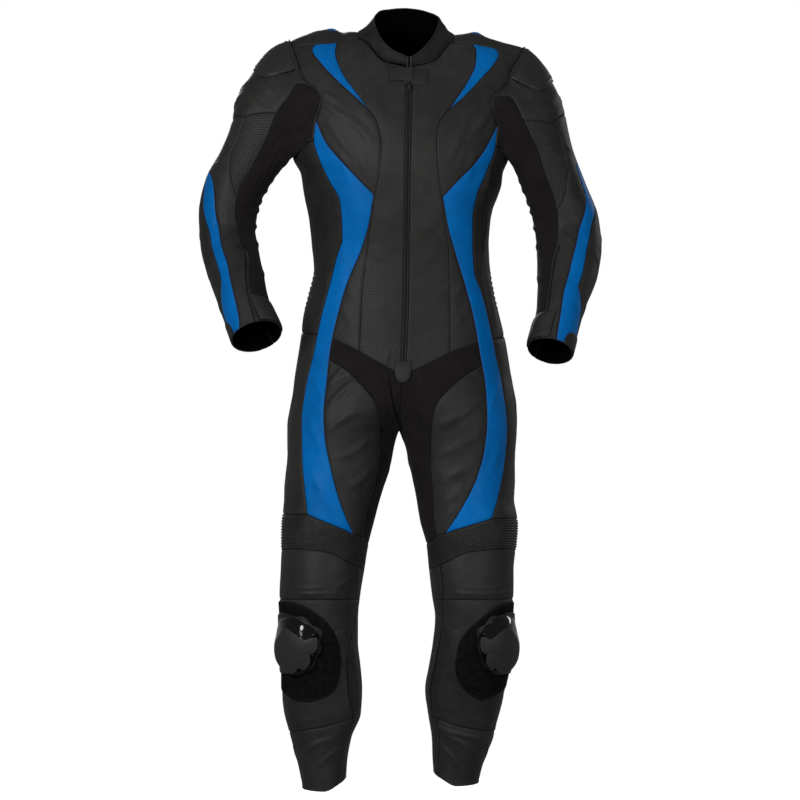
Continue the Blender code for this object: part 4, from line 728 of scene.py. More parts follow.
def new_piece(name, points, faces, materials, maps=None):
    """Return a smooth mesh object in metres, with UV maps given by point, at the origin."""
    mesh = bpy.data.meshes.new(name)
    mesh.from_pydata((points.reshape(-1, 3) * MM).tolist(), [], faces)
    mesh.polygons.foreach_set("use_smooth", np.ones(len(mesh.polygons), bool))
    corners = np.zeros(len(mesh.loops), np.int32)
    mesh.loops.foreach_get("vertex_index", corners)
    for label, values in (maps or {}).items():
        layer = mesh.uv_layers.new(name=label)
        layer.data.foreach_set("uv", values.reshape(-1, 2)[corners].ravel().astype(np.float32))
    for material in materials:
        mesh.materials.append(material)
    mesh.update()
    piece = bpy.data.objects.new(name, mesh)
    bpy.context.scene.collection.objects.link(piece)
    return piece


def finish_piece(piece, nodes, rides="suit"):
    """Give a piece its body, and hide the model's parts that it stands for."""
    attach(piece, rides)
    if nodes:
        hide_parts(*nodes)
    return piece


def cloth(name, points, material, nodes, height, wall=None, lift=0.0, trim=0.15,
          declare=True, line=None):
    """Return a piece of cloth: the grid raised along its normals, drawn in a little at its seams, with
    a wall inwards. Its maps give the cloth's own place, and the distance and run by its edges."""
    measure = Measure(points)
    wall = bpy.context.scene.suit_cloth.wall / MM if wall is None else wall
    outer = points + normals(points) * (lift + height)[..., None]
    for axis in (0, 1):
        grid = np.moveaxis(outer, axis, 0)
        for edge, inner in ((0, 1), (-1, -2)):
            step = grid[inner] - grid[edge]
            size = np.maximum(np.linalg.norm(step, axis=1), 1e-6)
            grid[edge] += step * np.minimum(trim / size, 0.4)[:, None]
    pairs = {"Cloth": (measure.across - measure.across[:, -1:] / 2, -measure.down),
             "Side": (measure.side, measure.down), "End": (measure.end, measure.across)}
    if line is not None:
        pairs["Line"] = line
    maps = {label: np.stack(pair, -1) * MM for label, pair in pairs.items()}
    piece = new_piece(name, outer, grid_faces(*points.shape[:2]), [material, reverse_cloth()], maps)
    thick = piece.modifiers.new("Wall", "SOLIDIFY")
    thick.thickness, thick.offset, thick.material_offset, thick.material_offset_rim = wall * MM, -1, 1, 0
    finish_piece(piece, nodes)
    if declare:
        a, b, c, d = outer[:-1, :-1], outer[:-1, 1:], outer[1:, 1:], outer[1:, :-1]
        area = np.linalg.norm(np.cross(c - a, d - b), axis=-1).sum() / 2 * MM ** 2
        long = measure.down[-1].mean() * MM
        wide = max(measure.across[:, -1].max() * MM, area / long)
        wide = min(wide, area / (0.31 * long))
    return piece


# --- relief: seams, creases and ribs ---

def hat(distance, width):
    """Return the cross-section of a crease: 1 on its line, a little under 0 beside it, then 0."""
    share = (distance / width) ** 2
    return (1 - 0.9 * share) * np.exp(-share)


def seam_relief(measure, free=None, flat=None):
    """Return the dip along a piece's sewn edges and the slight swell of the cloth between them. A
    free edge is a little thicker, and a flat one keeps its place."""
    depth = bpy.context.scene.suit_cloth.seam_depth / MM
    height = 0.7 * grown(measure.near, 7)
    slim = np.clip((measure.left + measure.right) / 14, 0.05, 1)
    for name in ("left", "right", "top", "bottom"):
        distance = getattr(measure, name)
        if name == free:
            height = height + 0.9 * bell(distance, 3.0)
        elif name != flat:
            height = height - depth * slim * bell(distance, 1.5)
    return height


def waves(points, measure):
    """Return the slow unevenness of worn cloth: sines of the place in three uneven directions."""
    x, y, z = np.moveaxis(points, -1, 0)
    slow = (np.sin(x / 21 + z / 34 + 1.1) + np.sin(y / 17 - z / 27 + 2.3) + np.sin((x - y) / 15 + z / 51)) / 3
    bend = 2.1 * np.sin(x / 31 + z / 43) + 1.4 * np.sin(y / 23 - z / 37)
    quick = np.sin(x / 6.3 - z / 9.7 + y / 9 + bend) * np.sin(z / 15.1 + x / 21 + bend)
    sharp = np.maximum(np.sin(x / 11.5 + z / 7.9 - y / 13 + 2 * bend), 0) ** 4 * np.sin(z / 33 + x / 47 + bend)
    return (1.1 * slow + 0.14 * quick + 0.18 * sharp) * grown(measure.near, 12)


class Crease:
    """A crease on the skin: a line that runs straight between its ends in the surface's own two
    coordinates, with a sideways bow. Bow and height are greatest in its middle and fade to both ends."""

    STEPS = 11

    def __init__(self, place, side, start, end, bow, width, height):
        t = np.linspace(0, 1, self.STEPS)
        reach = np.sin(np.pi * t) * bow
        across = [start[k] + (end[k] - start[k]) * t for k in (0, 1)]
        self.line = place(side, across[0], across[1], reach)
        self.width, self.height = width, height
        self.centre = self.line.mean(axis=0)
        self.radius = np.linalg.norm(self.line - self.centre, axis=1).max() + 2.6 * width

    def relief(self, points):
        """Return the crease's height at points, by their distance from its line."""
        near = np.linalg.norm(points - self.centre, axis=1) < self.radius
        height = np.zeros(len(points))
        if not near.any():
            return height
        here = points[near][:, None]
        start, step = self.line[:-1], np.diff(self.line, axis=0)
        share = within(np.sum((here - start) * step, axis=-1) / np.sum(step ** 2, axis=-1))
        gap = np.linalg.norm(here - start - step * share[..., None], axis=-1)
        best = gap.argmin(axis=1)
        along = (best + share[np.arange(len(best)), best]) / len(step)
        height[near] = self.height * np.sin(np.pi * along) ** 0.7 * hat(gap.min(axis=1), self.width)
        return height


# The two coordinates in which each kind of crease is given: out and height, turn and height, or turn
# and run. The bow is added to the second.
PLACES = {"front": lambda side, out, z, bow: body(side, turn_at(side, out, z + bow), z + bow),
          "back": lambda side, out, z, bow: body(side, turn_at(side, out, z + bow, True), z + bow),
          "leg": lambda side, turn, z, bow: body(side, turn, z + bow),
          "arm": lambda side, turn, run, bow: sleeve(side, turn, run + bow / 1000)}

# Main creases: side (r, l or both as b), two ends, bow, width and height in millimetres.
FRONT_CREASES = (       # ends as out and height
    ("r", 146, -108, 100, -142, -5, 5, 1.6), ("r", 104, -140, 54, -190, 5, 6, 1.6),
    ("r", 140, -140, 84, -212, -6, 7, 1.2), ("r", 150, -96, 120, -112, 3, 5, 1.2),
    ("r", 92, -92, 60, -150, 5, 8, 0.9), ("r", 82, -205, 60, -262, 4, 7, 0.9),
    ("l", 160, -118, 112, -176, -7, 6, 1.4), ("l", 134, -104, 84, -196, 8, 7, 1.1),
    ("l", 118, -150, 76, -228, 5, 6, 0.9), ("l", 104, -84, 74, -140, 4, 8, 0.7),
    ("r", 118, -200, 96, -260, 4, 6, 1.3), ("l", 128, -196, 110, -262, -4, 6, 1.0),
    ("r", 66, -300, 12, -344, 5, 9, 0.8), ("l", 70, -312, 20, -352, -5, 9, 0.8),
    ("r", 64, -372, 18, -398, -4, 8, 0.7), ("l", 70, -388, 16, -410, 4, 8, 0.7),
    ("l", 122, -428, 84, -470, 5, 6, 0.9), ("l", 126, -462, 88, -512, -5, 6, 0.8),
    ("r", 112, -430, 84, -466, -5, 6, 0.8), ("r", 120, -476, 86, -520, 5, 7, 0.8),
    ("r", 70, -470, 18, -520, 7, 9, 0.8), ("l", 74, -500, 20, -548, -7, 9, 0.9),
    ("r", 22, -552, 28, -596, 0, 3, -2.4), ("r", 29, -584, 21, -640, 0, 3, -3.0),
    ("r", 27, -612, 10, -690, 0, 3, -4.4), ("r", 14, -668, 7, -700, 0, 3, -3.0),
    ("r", 2, -610, 4, -668, 0, 3, -3.4), ("l", 10, -606, 1, -668, 0, 3, -2.0),
    ("r", 1, -664, 7, -698, 0, 3, -4.0), ("r", 40, -600, 34, -680, 0, 5, 1.2),
    ("l", 34, -604, 22, -684, 0, 5, 1.2), ("r", 140, -664, 88, -612, 4, 5, 2.6),
    ("r", 136, -622, 98, -584, 4, 5, 2.0), ("r", 142, -706, 72, -664, 5, 6, 1.8),
    ("r", 124, -754, 60, -716, -5, 6, 1.8), ("r", 106, -806, 58, -770, -5, 6, 1.5),
    ("l", 116, -604, 52, -652, -6, 7, 1.6), ("l", 140, -640, 60, -692, -8, 7, 1.7),
    ("l", 142, -700, 56, -746, -7, 8, 1.4), ("l", 128, -752, 60, -790, -7, 8, 1.5),
    ("l", 112, -800, 62, -832, -5, 8, 1.1), ("l", 92, -836, 60, -866, -4, 7, 0.9),
    ("r", 168, -590, 142, -650, 3, 7, 1.3), ("r", 176, -672, 150, -742, 4, 7, 1.2),
    ("r", 172, -770, 140, -830, 4, 7, 1.1), ("l", 174, -610, 148, -676, 3, 7, 1.1),
    ("l", 178, -716, 150, -790, 4, 8, 1.0), ("r", 150, -380, 132, -470, 3, 8, 0.9),
    ("r", 38, -708, 24, -800, 3, 8, 1.0), ("l", 24, -712, 14, -806, 3, 8, 1.0),
    ("l", 160, -212, 138, -300, 4, 4, 2.8), ("l", 152, -236, 141, -400, 3, 4, 2.8),
    ("l", 148, -420, 166, -520, 3, 7, 1.0), ("r", 172, -230, 150, -340, 4, 6, 1.2),
    ("r", 160, -300, 152, -430, 3, 7, 1.0))
BACK_CREASES = (("b", 168, -140, 96, -196, 8, 8, 1.6), ("b", 160, -172, 70, -250, 9, 9, 1.3),
    ("r", 128, -120, 60, -150, -6, 9, 1.1), ("l", 134, -112, 52, -158, -7, 9, 1.0),
    ("b", 112, -300, 30, -330, 6, 9, 1.1), ("r", 140, -350, 40, -372, 5, 8, 1.0),
    ("l", 144, -360, 30, -392, 6, 8, 1.1), ("b", 150, -516, 60, -560, 9, 9, 1.2),
    ("b", 160, -600, 60, -668, 12, 9, 1.7), ("r", 168, -652, 74, -716, 12, 8, 1.8),
    ("l", 160, -662, 66, -722, 12, 8, 1.7), ("b", 172, -720, 90, -744, 9, 8, 1.2),
    ("r", 176, -790, 90, -820, 7, 9, 1.0), ("l", 170, -800, 80, -836, 7, 9, 1.0))
LEG_CREASES = (         # ends as turn and height
    ("b", 140, -876, 250, -888, -9, 6, 2.2), ("b", 132, -902, 240, -906, 7, 6, 2.0),
    ("b", 140, -930, 232, -924, -8, 6, 1.8), ("b", 128, -954, 226, -962, 6, 7, 1.4),
    ("b", 150, -1030, 232, -1058, 8, 8, 1.1), ("r", 160, -1120, 240, -1146, -8, 9, 1.0),
    ("l", 150, -1130, 236, -1160, -8, 9, 1.0), ("b", 140, -1206, 226, -1222, 6, 7, 1.1),
    ("b", -52, -1040, -66, -1212, 2, 7, 1.4), ("b", -36, -1120, -44, -1224, 2, 6, 1.0),
    ("r", -30, -1256, 44, -1284, 6, 6, 1.7), ("l", -34, -1250, 36, -1290, 6, 6, 1.6),
    ("r", -56, -1268, 10, -1308, 5, 6, 1.3), ("l", -58, -1262, 6, -1310, 5, 6, 1.2),
    ("b", 10, -1222, 62, -1238, 4, 6, 1.2), ("r", 60, -1256, 104, -1300, 4, 7, 1.0),
    ("l", 58, -1262, 100, -1306, 4, 7, 1.0), ("r", -66, -958, -20, -988, 4, 6, 0.9),
    ("b", 66, -991, -26, -993, -3, 4, 1.7), ("b", 56, -982, -14, -984, -2, 4, 0.9),
    ("r", 76, -1240, 28, -1260, 0, 4, 1.7), ("l", -80, -1212, -18, -1248, -3, 5, 2.0),
    ("l", -32, -1240, 42, -1256, -3, 5, 2.2), ("l", 20, -1256, 84, -1238, -3, 5, 1.9),
    ("r", -44, -1054, -14, -1066, 0, 3, -1.4), ("l", -46, -1048, -18, -1064, 0, 3, -1.4),
    ("b", 80, -620, 92, -740, 4, 9, 1.2), ("b", 84, -760, 100, -840, 4, 9, 1.0),
    ("r", 84, -1180, 100, -1236, 3, 7, 0.9), ("l", 84, -1176, 100, -1232, 3, 7, 0.9))
ARM_CREASES = (         # ends as turn and run
    ("b", 20, 0.13, 78, 0.19, 8, 7, 1.3), ("b", 10, 0.19, 74, 0.245, 8, 7, 1.5),
    ("b", 26, 0.255, 84, 0.275, -7, 6, 1.3), ("r", 60, 0.23, 104, 0.31, 6, 5, 1.6),
    ("r", 76, 0.20, 112, 0.26, 6, 5, 1.3), ("l", 64, 0.24, 108, 0.31, 6, 5, 1.4),
    ("b", 110, 0.28, 200, 0.31, 10, 8, 1.5), ("b", 100, 0.37, 196, 0.40, 9, 8, 1.4),
    ("b", 92, 0.46, 180, 0.44, -8, 8, 1.2), ("b", 90, 0.60, 178, 0.57, -8, 8, 1.3),
    ("b", 80, 0.68, 160, 0.72, 8, 8, 1.2), ("b", 84, 0.80, 170, 0.84, 8, 8, 1.0),
    ("b", 10, 0.60, 58, 0.67, 6, 6, 1.3), ("r", -8, 0.68, 26, 0.76, 6, 5, 1.1),
    ("l", -14, 0.66, 16, 0.74, 6, 5, 1.1), ("b", -4, 0.80, 12, 0.90, 5, 5, 0.9),
    ("b", 50, 0.74, 92, 0.80, 6, 7, 1.1), ("b", 60, 0.88, 110, 0.93, 6, 7, 1.0),
    ("b", -120, 0.48, -30, 0.53, 9, 6, 2.1), ("b", -112, 0.54, -24, 0.585, -8, 6, 2.0),
    ("b", -122, 0.60, -40, 0.62, 8, 6, 1.8), ("b", -110, 0.42, -36, 0.47, 8, 6, 1.5),
    ("b", -126, 0.68, -50, 0.70, 8, 7, 1.2), ("b", -118, 0.34, -40, 0.37, 6, 7, 1.0),
    ("b", -100, 0.80, -40, 0.84, 6, 7, 1.0), ("r", 34, 0.40, 70, 0.47, 6, 6, 1.2),
    ("l", 40, 0.38, 76, 0.44, 6, 6, 1.1))


def all_creases():
    """Return every crease by surface and side. The wide ones of the front and the back are half as wide again."""
    found = {(surface, side): [] for surface in ("body", "arm") for side in SIDES}
    groups = {"front": FRONT_CREASES, "back": BACK_CREASES, "leg": LEG_CREASES, "arm": ARM_CREASES}
    for place, rows in groups.items():
        for which, a, b, c, d, bow, width, height in rows:
            wide = 1.0 if width < 5 or place in ("leg", "arm") else 1.5
            for side in SIDES:
                if which in ("b", side[0]):
                    found["arm" if place == "arm" else "body", side].append(
                        Crease(PLACES[place], side, (a, b), (c, d), bow, width * wide, height))
    return found


CREASES = all_creases()


def crease_relief(points, surface, side, near):
    """Return the creases' height on a piece, fading at its seams."""
    flat = points.reshape(-1, 3)
    total = sum(crease.relief(flat) for crease in CREASES[surface, side]).reshape(points.shape[:2])
    return total * (1 - 0.85 * np.exp(-near / 5))


def ribs(run, pitch, height, sharp=0.6):
    """Return rounded ribs along a run, with narrow valleys between them."""
    return height * (np.abs(np.sin(np.pi * run / pitch)) ** sharp - 0.5)


# The accordion's first and last rib round the leg, and how many ribs lie between.
RIB_EDGES = {"right": table("turn top low", (-88, -914, -966), (-60, -899, -950), (-40, -888, -940),
        (0, -871, -919), (28, -853, -914), (110, -851, -920)),
    "left": table("turn top low", (-88, -914, -966), (-60, -899, -950), (-33, -886, -936), (0, -873, -919),
        (29, -860, -914), (110, -862, -920))}
RIB_COUNT = {"right": 13, "left": 12}


def turn_of(side, points):
    """Return the turns of points near the body's skin, from the two shares of its ellipse."""
    z = points[..., 2]
    outer, half = section(side, z, False)
    front = column(DEPTH, "middle", z) - points[..., 1]
    sine = (SIDES[side] * points[..., 0] - outer + half) / half
    return np.degrees(np.arctan2(sine, front / column(DEPTH, "front", z)))


def knee_ribs(points, measure, side):
    """Return the accordion's ribs, a little uneven: even steps between its first and last rib."""
    edges, turn = RIB_EDGES[side], turn_of(side, points)
    top, low = (column(edges, name, turn) for name in ("top", "low"))
    place = (top - points[..., 2]) / (top - low) * RIB_COUNT[side]
    place = place + 0.06 * np.sin(turn / 9) + 0.05 * np.sin(place * 1.9)
    return ribs(place, 1.0, 3.0, 0.75) * grown(measure.side, 9)


# Turns of the two stitched lines down the inside of each lower leg, by height.
LEG_LINES = {"right": table("z first second", (-890, -60, -150), (-950, -57, -150), (-1017, -68, -150),
        (-1130, -41, -150), (-1165, -41, -150), (-1224, -55, -150), (-1256, -60, -100), (-1272, -54, -84),
        (-1300, -43, -69), (-1345, -36, -56)),
    "left": table("z first second", (-890, -66, -150), (-906, -67, -150), (-952, -46, -150), (-981, -45, -150),
        (-1017, -52, -150), (-1121, -56, -150), (-1200, -60, -66), (-1225, -63, -50), (-1265, -63, -50),
        (-1345, -68, -52))}
LEG_RADIUS, ARM_LINE = 62.0, 9.0


def leg_lines(side, points, measure):
    """Return how far points lie from the leg's two stitched lines, less than 0 on their inner side."""
    lines, turn = LEG_LINES[side], turn_of(side, points)
    return [np.radians(turn - column(lines, name, points[..., 2])) * LEG_RADIUS
            for name in ("first", "second")]


def arm_line(side, points, measure):
    """Return how far points lie from the line beside the forearm's inner seam."""
    away = measure.left if side == "right" else measure.right
    low = within((-points[..., 2] - 364) / 4)
    return [away - ARM_LINE + 40 * (1 - low), away * 0 + 50]


def lumbar_ribs(points, measure):
    """Return the ribs over the small of the back."""
    z = points[..., 2]
    band = within((z + 486) / 8) * within((-414 - z) / 8)
    return ribs(z, 9.0, 2.6, 0.8) * band * grown(measure.side, 8)


def side_ribs(points, measure, side):
    """Return the same ribs on the side panel, as far as they run forwards."""
    return lumbar_ribs(points, measure) * within((points[..., 1] + 14) / 20)


def gathers(points, measure, side):
    """Return the fine gathers of the stretch panel inside the arm: waves that run along the arm."""
    place = measure.column * 8 + 0.5 * np.sin(measure.row * 19) + 1.2 * np.sin(measure.row * 5 + 1)
    strong = 0.35 + 0.65 * bell(measure.row - 0.12, 0.16)
    across = np.sin(measure.down / 9.5 + 2.2 * np.sin(measure.column * 7))
    return (0.6 * np.sin(2 * np.pi * place) * strong + 0.25 * across) * grown(measure.near, 6)


# --- materials ---

class Value:
    """A value in a finish, so that sums on it read as sums. Each adds its Math node."""

    def __init__(self, finish, socket):
        self.finish, self.socket = finish, socket

    def maths(self, operation, *values):
        """Return a sum of the values."""
        return self.finish.node("ShaderNodeMath", {"operation": operation}, *values)

    def size(self):
        """Return the value without its sign."""
        return self.maths("ABSOLUTE", self)

    def wave(self, pitch):
        """Return 0 to 1 and back, once for each pitch."""
        return self.maths("PINGPONG", self, pitch / 2) * (2 / pitch)

    def over(self, low, high):
        """Return 0 below low, 1 over high and a smooth rise between them."""
        return self.finish.node("ShaderNodeMapRange", {"interpolation_type": "SMOOTHSTEP"}, self, low, high)


for sign, sum_name in (("add", "ADD"), ("radd", "ADD"), ("sub", "SUBTRACT"), ("mul", "MULTIPLY"),
                       ("rmul", "MULTIPLY"), ("truediv", "DIVIDE"), ("pow", "POWER")):
    setattr(Value, f"__{sign}__", lambda self, other, name=sum_name: self.maths(name, self, other))
Value.__rsub__ = lambda self, other: self.maths("SUBTRACT", other, self)


class Finish:
    """A material being made. Its heights are in millimetres."""

    def __init__(self, name, specular, **constants):
        self.material = bpy.data.materials.new(name)
        self.material.use_nodes = True
        self.tree = self.material.node_tree
        self.shader = self.tree.nodes["Principled BSDF"]
        self.shader.inputs["Specular IOR Level"].default_value = specular
        for label, value in constants.items():
            self.shader.inputs[label.replace("_", " ").title()].default_value = value

    def feed(self, socket, value):
        """Give a socket a value, a colour or a link."""
        if isinstance(value, Value):
            self.tree.links.new(value.socket, socket)
        else:
            socket.default_value = (*value, 1) if isinstance(value, tuple) else value

    def node(self, kind, settings, *values, output=0, **named):
        """Add a node with its settings and the values or links of its sockets; return one output."""
        made = self.tree.nodes.new(kind)
        for label, value in settings.items():
            setattr(made, label, value)
        for key, value in [*enumerate(values), *named.items()]:
            self.feed(made.inputs[key], value)
        return Value(self, made.outputs[output])

    def place(self):
        """Return the object's own coordinates in metres."""
        return self.node("ShaderNodeTexCoord", {}, output="Object")

    def split(self, place):
        """Return the three numbers of a place, in millimetres."""
        parts = self.node("ShaderNodeSeparateXYZ", {}, place).socket.node.outputs
        return [Value(self, part) * 1000 for part in parts]

    def pair(self, label):
        """Return the two numbers of a piece's map, in millimetres."""
        return self.split(self.node("ShaderNodeUVMap", {"uv_map": label}))[:2]

    def noise(self, scale, detail=2.0, rough=0.5):
        """Return soft noise from 0 to 1, in grains a metre."""
        return self.node("ShaderNodeTexNoise", {}, self.place(), output="Fac", Scale=scale, Detail=detail,
                         Roughness=rough)

    def cells(self, scale):
        """Return the distance from the middle of the cell, in cells."""
        return self.node("ShaderNodeTexVoronoi", {}, self.place(), output="Distance", Scale=scale)

    def blend(self, share, first, last):
        """Return a colour between two."""
        made = self.node("ShaderNodeMix", {"data_type": "RGBA"}, output=2)
        for place, value in ((0, share), (6, first), (7, last)):
            self.feed(made.socket.node.inputs[place], value)
        return made

    def done(self, colour, rough, height):
        """Link the colour, the roughness and the height, and return the material."""
        bump = self.node("ShaderNodeBump", {}, 1.0, 0.001, output="Normal", Height=height)
        for label, value in (("Base Color", colour), ("Roughness", rough), ("Normal", bump)):
            self.feed(self.shader.inputs[label], value)
        return self.material


def once(make):
    """Make a material the first time that it is asked for."""
    kept = {}

    def get(*args):
        if args not in kept:
            kept[args] = make(*args)
        return kept[args]
    return get


def colour_of(name):
    """Return one of the suit's colours."""
    return tuple(getattr(bpy.context.scene.suit_colours, name))


def tones(colour, *shares):
    """Return a colour made darker or lighter by each share."""
    return [tuple(c * share for c in colour) for share in shares]


def stitches(finish, inset, pitch, *labels):
    """Return 1 on the threads of the rows of stitches beside edges: dashes inside a narrow band."""
    rows = []
    for label in labels:
        away, run = finish.pair(label)
        rows.append((1 - ((away - inset) / 0.42).size().over(0.7, 1.1)) * run.wave(pitch).over(0.22, 0.4))
    return rows[0].maths("MAXIMUM", *rows) if len(rows) > 1 else rows[0]


def leather_grain(finish, strong=1.0):
    """Return the height of leather's grain: pebbles of a millimetre and a half, creased by noise."""
    pebble = finish.cells(720.0) * 0.10 + finish.cells(340.0) * 0.14
    wrinkle = finish.noise(150.0, 3.0, 0.55) * 0.45 + finish.noise(58.0) * 0.5
    fold = (finish.noise(24.0, 3.0, 0.6) - 0.5).size().over(0.0, 0.07) * 0.10
    return (pebble + wrinkle + fold) * strong


def worn_colour(finish, base, dark, light):
    """Return a leather's colour, which wanders slowly from dark to light, and its two noises."""
    slow, mid = finish.noise(7.0), finish.noise(46.0, 3.0)
    return finish.blend((slow * 0.6 + mid * 0.4).over(0.30, 0.72), *tones(base, dark, light)), slow, mid


def holes(finish, pitch, radius, turned, square=False, upright=False):
    """Return 1 in the holes of perforated leather: even rows on the cloth's own map, or upright ones
    by the suit's own width and height."""
    across, down = finish.split(finish.place())[::2] if upright else finish.pair("Cloth")
    if turned:
        across, down = (across + down) * 0.7071, (across - down) * 0.7071
    x, y = ((way / pitch).maths("FRACT", way / pitch) - 0.5 for way in (across, down))
    away = x.maths("MAXIMUM", x.size(), y.size()) if square else (x * x + y * y) ** 0.5
    return 1 - away.over((radius - 0.25) / pitch, (radius + 0.25) / pitch)


# Perforated leathers: the holes' pitch and radius, whether their rows are slanted, square or upright.
HOLES = {"dotted": (3.9, 0.95, True, False, True), "diagonal": (3.9, 1.0, True), "square": (4.3, 1.2, False, True)}


@once
def leather(kind):
    """Return black or blue leather, plain, lined or perforated. Its height is grain, holes, grooves and stitches;
    its colour and roughness wander slowly with noise, and its colour is darkened in the holes and in the lined
    leather's grooves as painted shade."""
    blue = kind == "blue"
    finish = Finish(kind + "_leather", 0.05 if blue else 0.15)
    base = tones(colour_of("blue" if blue else "black"), 1.45 if kind in ("dotted", "square") else 1)[0]
    colour, slow, mid = worn_colour(finish, base, *((0.82, 1.14) if blue else (0.72, 1.32)))
    rough = (mid * 0.6 + slow * 0.4) * 0.22 + (0.36 if blue else 0.44)
    height = leather_grain(finish, 0.55 if blue else 1.0)
    if kind in HOLES:
        hole = holes(finish, *HOLES[kind])
        height = height - hole * 0.7
        # Painted shade: the holes are coloured far darker than the leather.
        colour = finish.blend(hole * 0.9, colour, *tones(base, 0.22))
        rough = rough + hole * 0.25
    if kind == "lined":
        for away in finish.pair("Line"):
            groove = 1 - away.size().over(0.7, 1.9)
            height = height - groove * 1.2 + (1 - (away + 3.4).size().over(0.8, 2.6)) * 0.9
            # Painted shade: each groove is coloured far darker than the leather.
            colour = finish.blend(groove * 0.9, colour, *tones(base, 0.12))
    thread = stitches(finish, 2.9, 3.1, "Side", "End")
    height = height + thread * 0.4
    if blue:
        side = finish.pair("Side")[0]
        rim = 1 - side.maths("MINIMUM", side, finish.pair("End")[0]).over(0.7, 1.9)
        colour = finish.blend(rim * 0.9, colour, (0.020, 0.010, 0.010))
        thread = thread * 0.4
    colour = finish.blend(thread * 0.5, colour, tuple(c * 1.9 + 0.006 for c in base))
    return finish.done(colour, rough, height)


@once
def shoulder_leather():
    """Return the yoke's black leather with its two small blue fields behind the shoulder's ridge."""
    finish = Finish("yoke_leather", 0.15)
    x, y, _ = finish.split(finish.place())
    field = (1 - (x.size() - 130).size().over(8.0, 10.0)) * y.over(2.0, 3.0) * (1 - y.over(58.0, 60.0))
    colour, _, mid = worn_colour(finish, colour_of("black"), 0.72, 1.32)
    thread = stitches(finish, 2.9, 3.1, "Side")
    return finish.done(finish.blend(field, colour, colour_of("blue")), 0.44 + mid * 0.22,
                       leather_grain(finish) + thread * 0.4)


@once
def stretch_cloth(kind):
    """Return the knitted stretch cloth: fine ribs down the cloth, broken by small loops. Its colour is lighter on
    the crests of the ribs and loops and darker in their valleys, a painted highlight and shade, over a random tone.
    """
    finish = Finish(kind, 0.06, sheen_weight=0.03, sheen_roughness=0.5, sheen_tint=(0.9, 0.8, 0.8, 1))
    across, down = finish.pair("Cloth")
    rib = across.wave(2.3)
    loop = (down + rib * 0.9).wave(1.7)
    crimp = finish.noise(170.0, 3.0) * 0.7 + finish.noise(60.0) * 0.9
    # Painted highlight and shade: the colour follows the ribs and loops, with a random tone from noise.
    painted_rib_shade_and_tone = (rib * 0.5 + loop * 0.2 + finish.noise(30.0, 3.0) * 0.5).over(0.25, 0.95)
    return finish.done(finish.blend(painted_rib_shade_and_tone, *tones(colour_of("stretch"), 0.5, 1.7)), 0.86,
                       rib * 0.12 + loop * 0.12 + crimp * 0.8)


@once
def collar_cloth():
    """Return the collar's soft black cover: fine short grain with a dull surface."""
    finish = Finish("collar_leather", 0.10)
    grain = finish.cells(900.0) * 0.12 + finish.noise(240.0, 3.0) * 0.3 + finish.noise(60.0) * 0.5
    colour = finish.blend(finish.noise(40.0, 3.0).over(0.3, 0.7), *tones(colour_of("black"), 0.6, 1.05))
    return finish.done(colour, 0.62 + finish.noise(90.0) * 0.2, grain + stitches(finish, 4.2, 3.1, "End") * 0.4)


@once
def reverse_cloth():
    """Return the rough reverse of the leather and the cloth, seen through the neck and the cuffs. Its colour, far
    darker than the leather's, is a painted shade inside the suit.
    """
    finish = Finish("reverse", 0.02)
    nap = finish.noise(400.0, 4.0, 0.7)
    # Painted shade: near-black colour for the inside of the suit.
    colour = finish.blend(nap.over(0.3, 0.7), (0.0003,) * 3, (0.0012,) * 3)
    return finish.done(colour, 0.95, nap * 0.5 + finish.noise(60.0) * 0.6)


@once
def hook_field():
    """Return the hook-and-loop field: short matted loops, coloured darker where they lie low, a painted shade in the
    pits over a random tone.
    """
    finish = Finish("hook_field", 0.04)
    nap, mat = finish.noise(520.0, 4.0, 0.75), finish.noise(90.0, 3.0)
    # Painted shade: the colour follows the loops' own height, darker in the pits.
    colour = finish.blend((nap * 0.7 + mat * 0.3).over(0.35, 0.65), (0.0018,) * 3, (0.0075, 0.0072, 0.0066))
    thread = stitches(finish, 2.6, 3.0, "Side", "End")
    rows = finish.pair("Cloth")[1].wave(3.6)
    return finish.done(finish.blend(thread * 0.7, colour, (0.045, 0.044, 0.042)), 0.95,
                       nap * 0.7 + mat * 0.5 + rows * 0.12 - thread * 0.5)


@once
def puck_plastic():
    """Return the knee puck's moulded plastic: glossy walls under a satin face with fine scuffs. The walls are
    coloured far darker than the face, a painted shade.
    """
    finish = Finish("puck_plastic", 0.3)
    wall, foot = (mark.over(300.0, 700.0) for mark in finish.pair("Cloth"))
    face = 1 - wall
    dark, base, light = tones(colour_of("puck"), 0.12, 1, 1.7)
    scuff = finish.noise(240.0, 4.0, 0.7).over(0.45, 0.75) * face
    # Painted shade: the walls are coloured far darker than the face.
    colour = finish.blend(scuff * 0.3, finish.blend(face, dark, base), light)
    rough = face * 0.50 + scuff * 0.10 + foot * 0.5 + 0.06
    return finish.done(colour, rough, scuff * 0.03 + finish.noise(30.0) * 0.12)


@once
def cup_plastic():
    """Return the shoulder cup's skin: smooth moulded plastic with a fine even texture."""
    finish = Finish("cup_plastic", 0.22)
    grain = finish.cells(1100.0) * 0.06 + finish.noise(60.0) * 0.2
    colour = finish.blend(finish.noise(20.0, 3.0), *tones(colour_of("black"), 0.8, 1.2))
    return finish.done(colour, 0.36 + finish.noise(70.0, 3.0) * 0.16, grain)


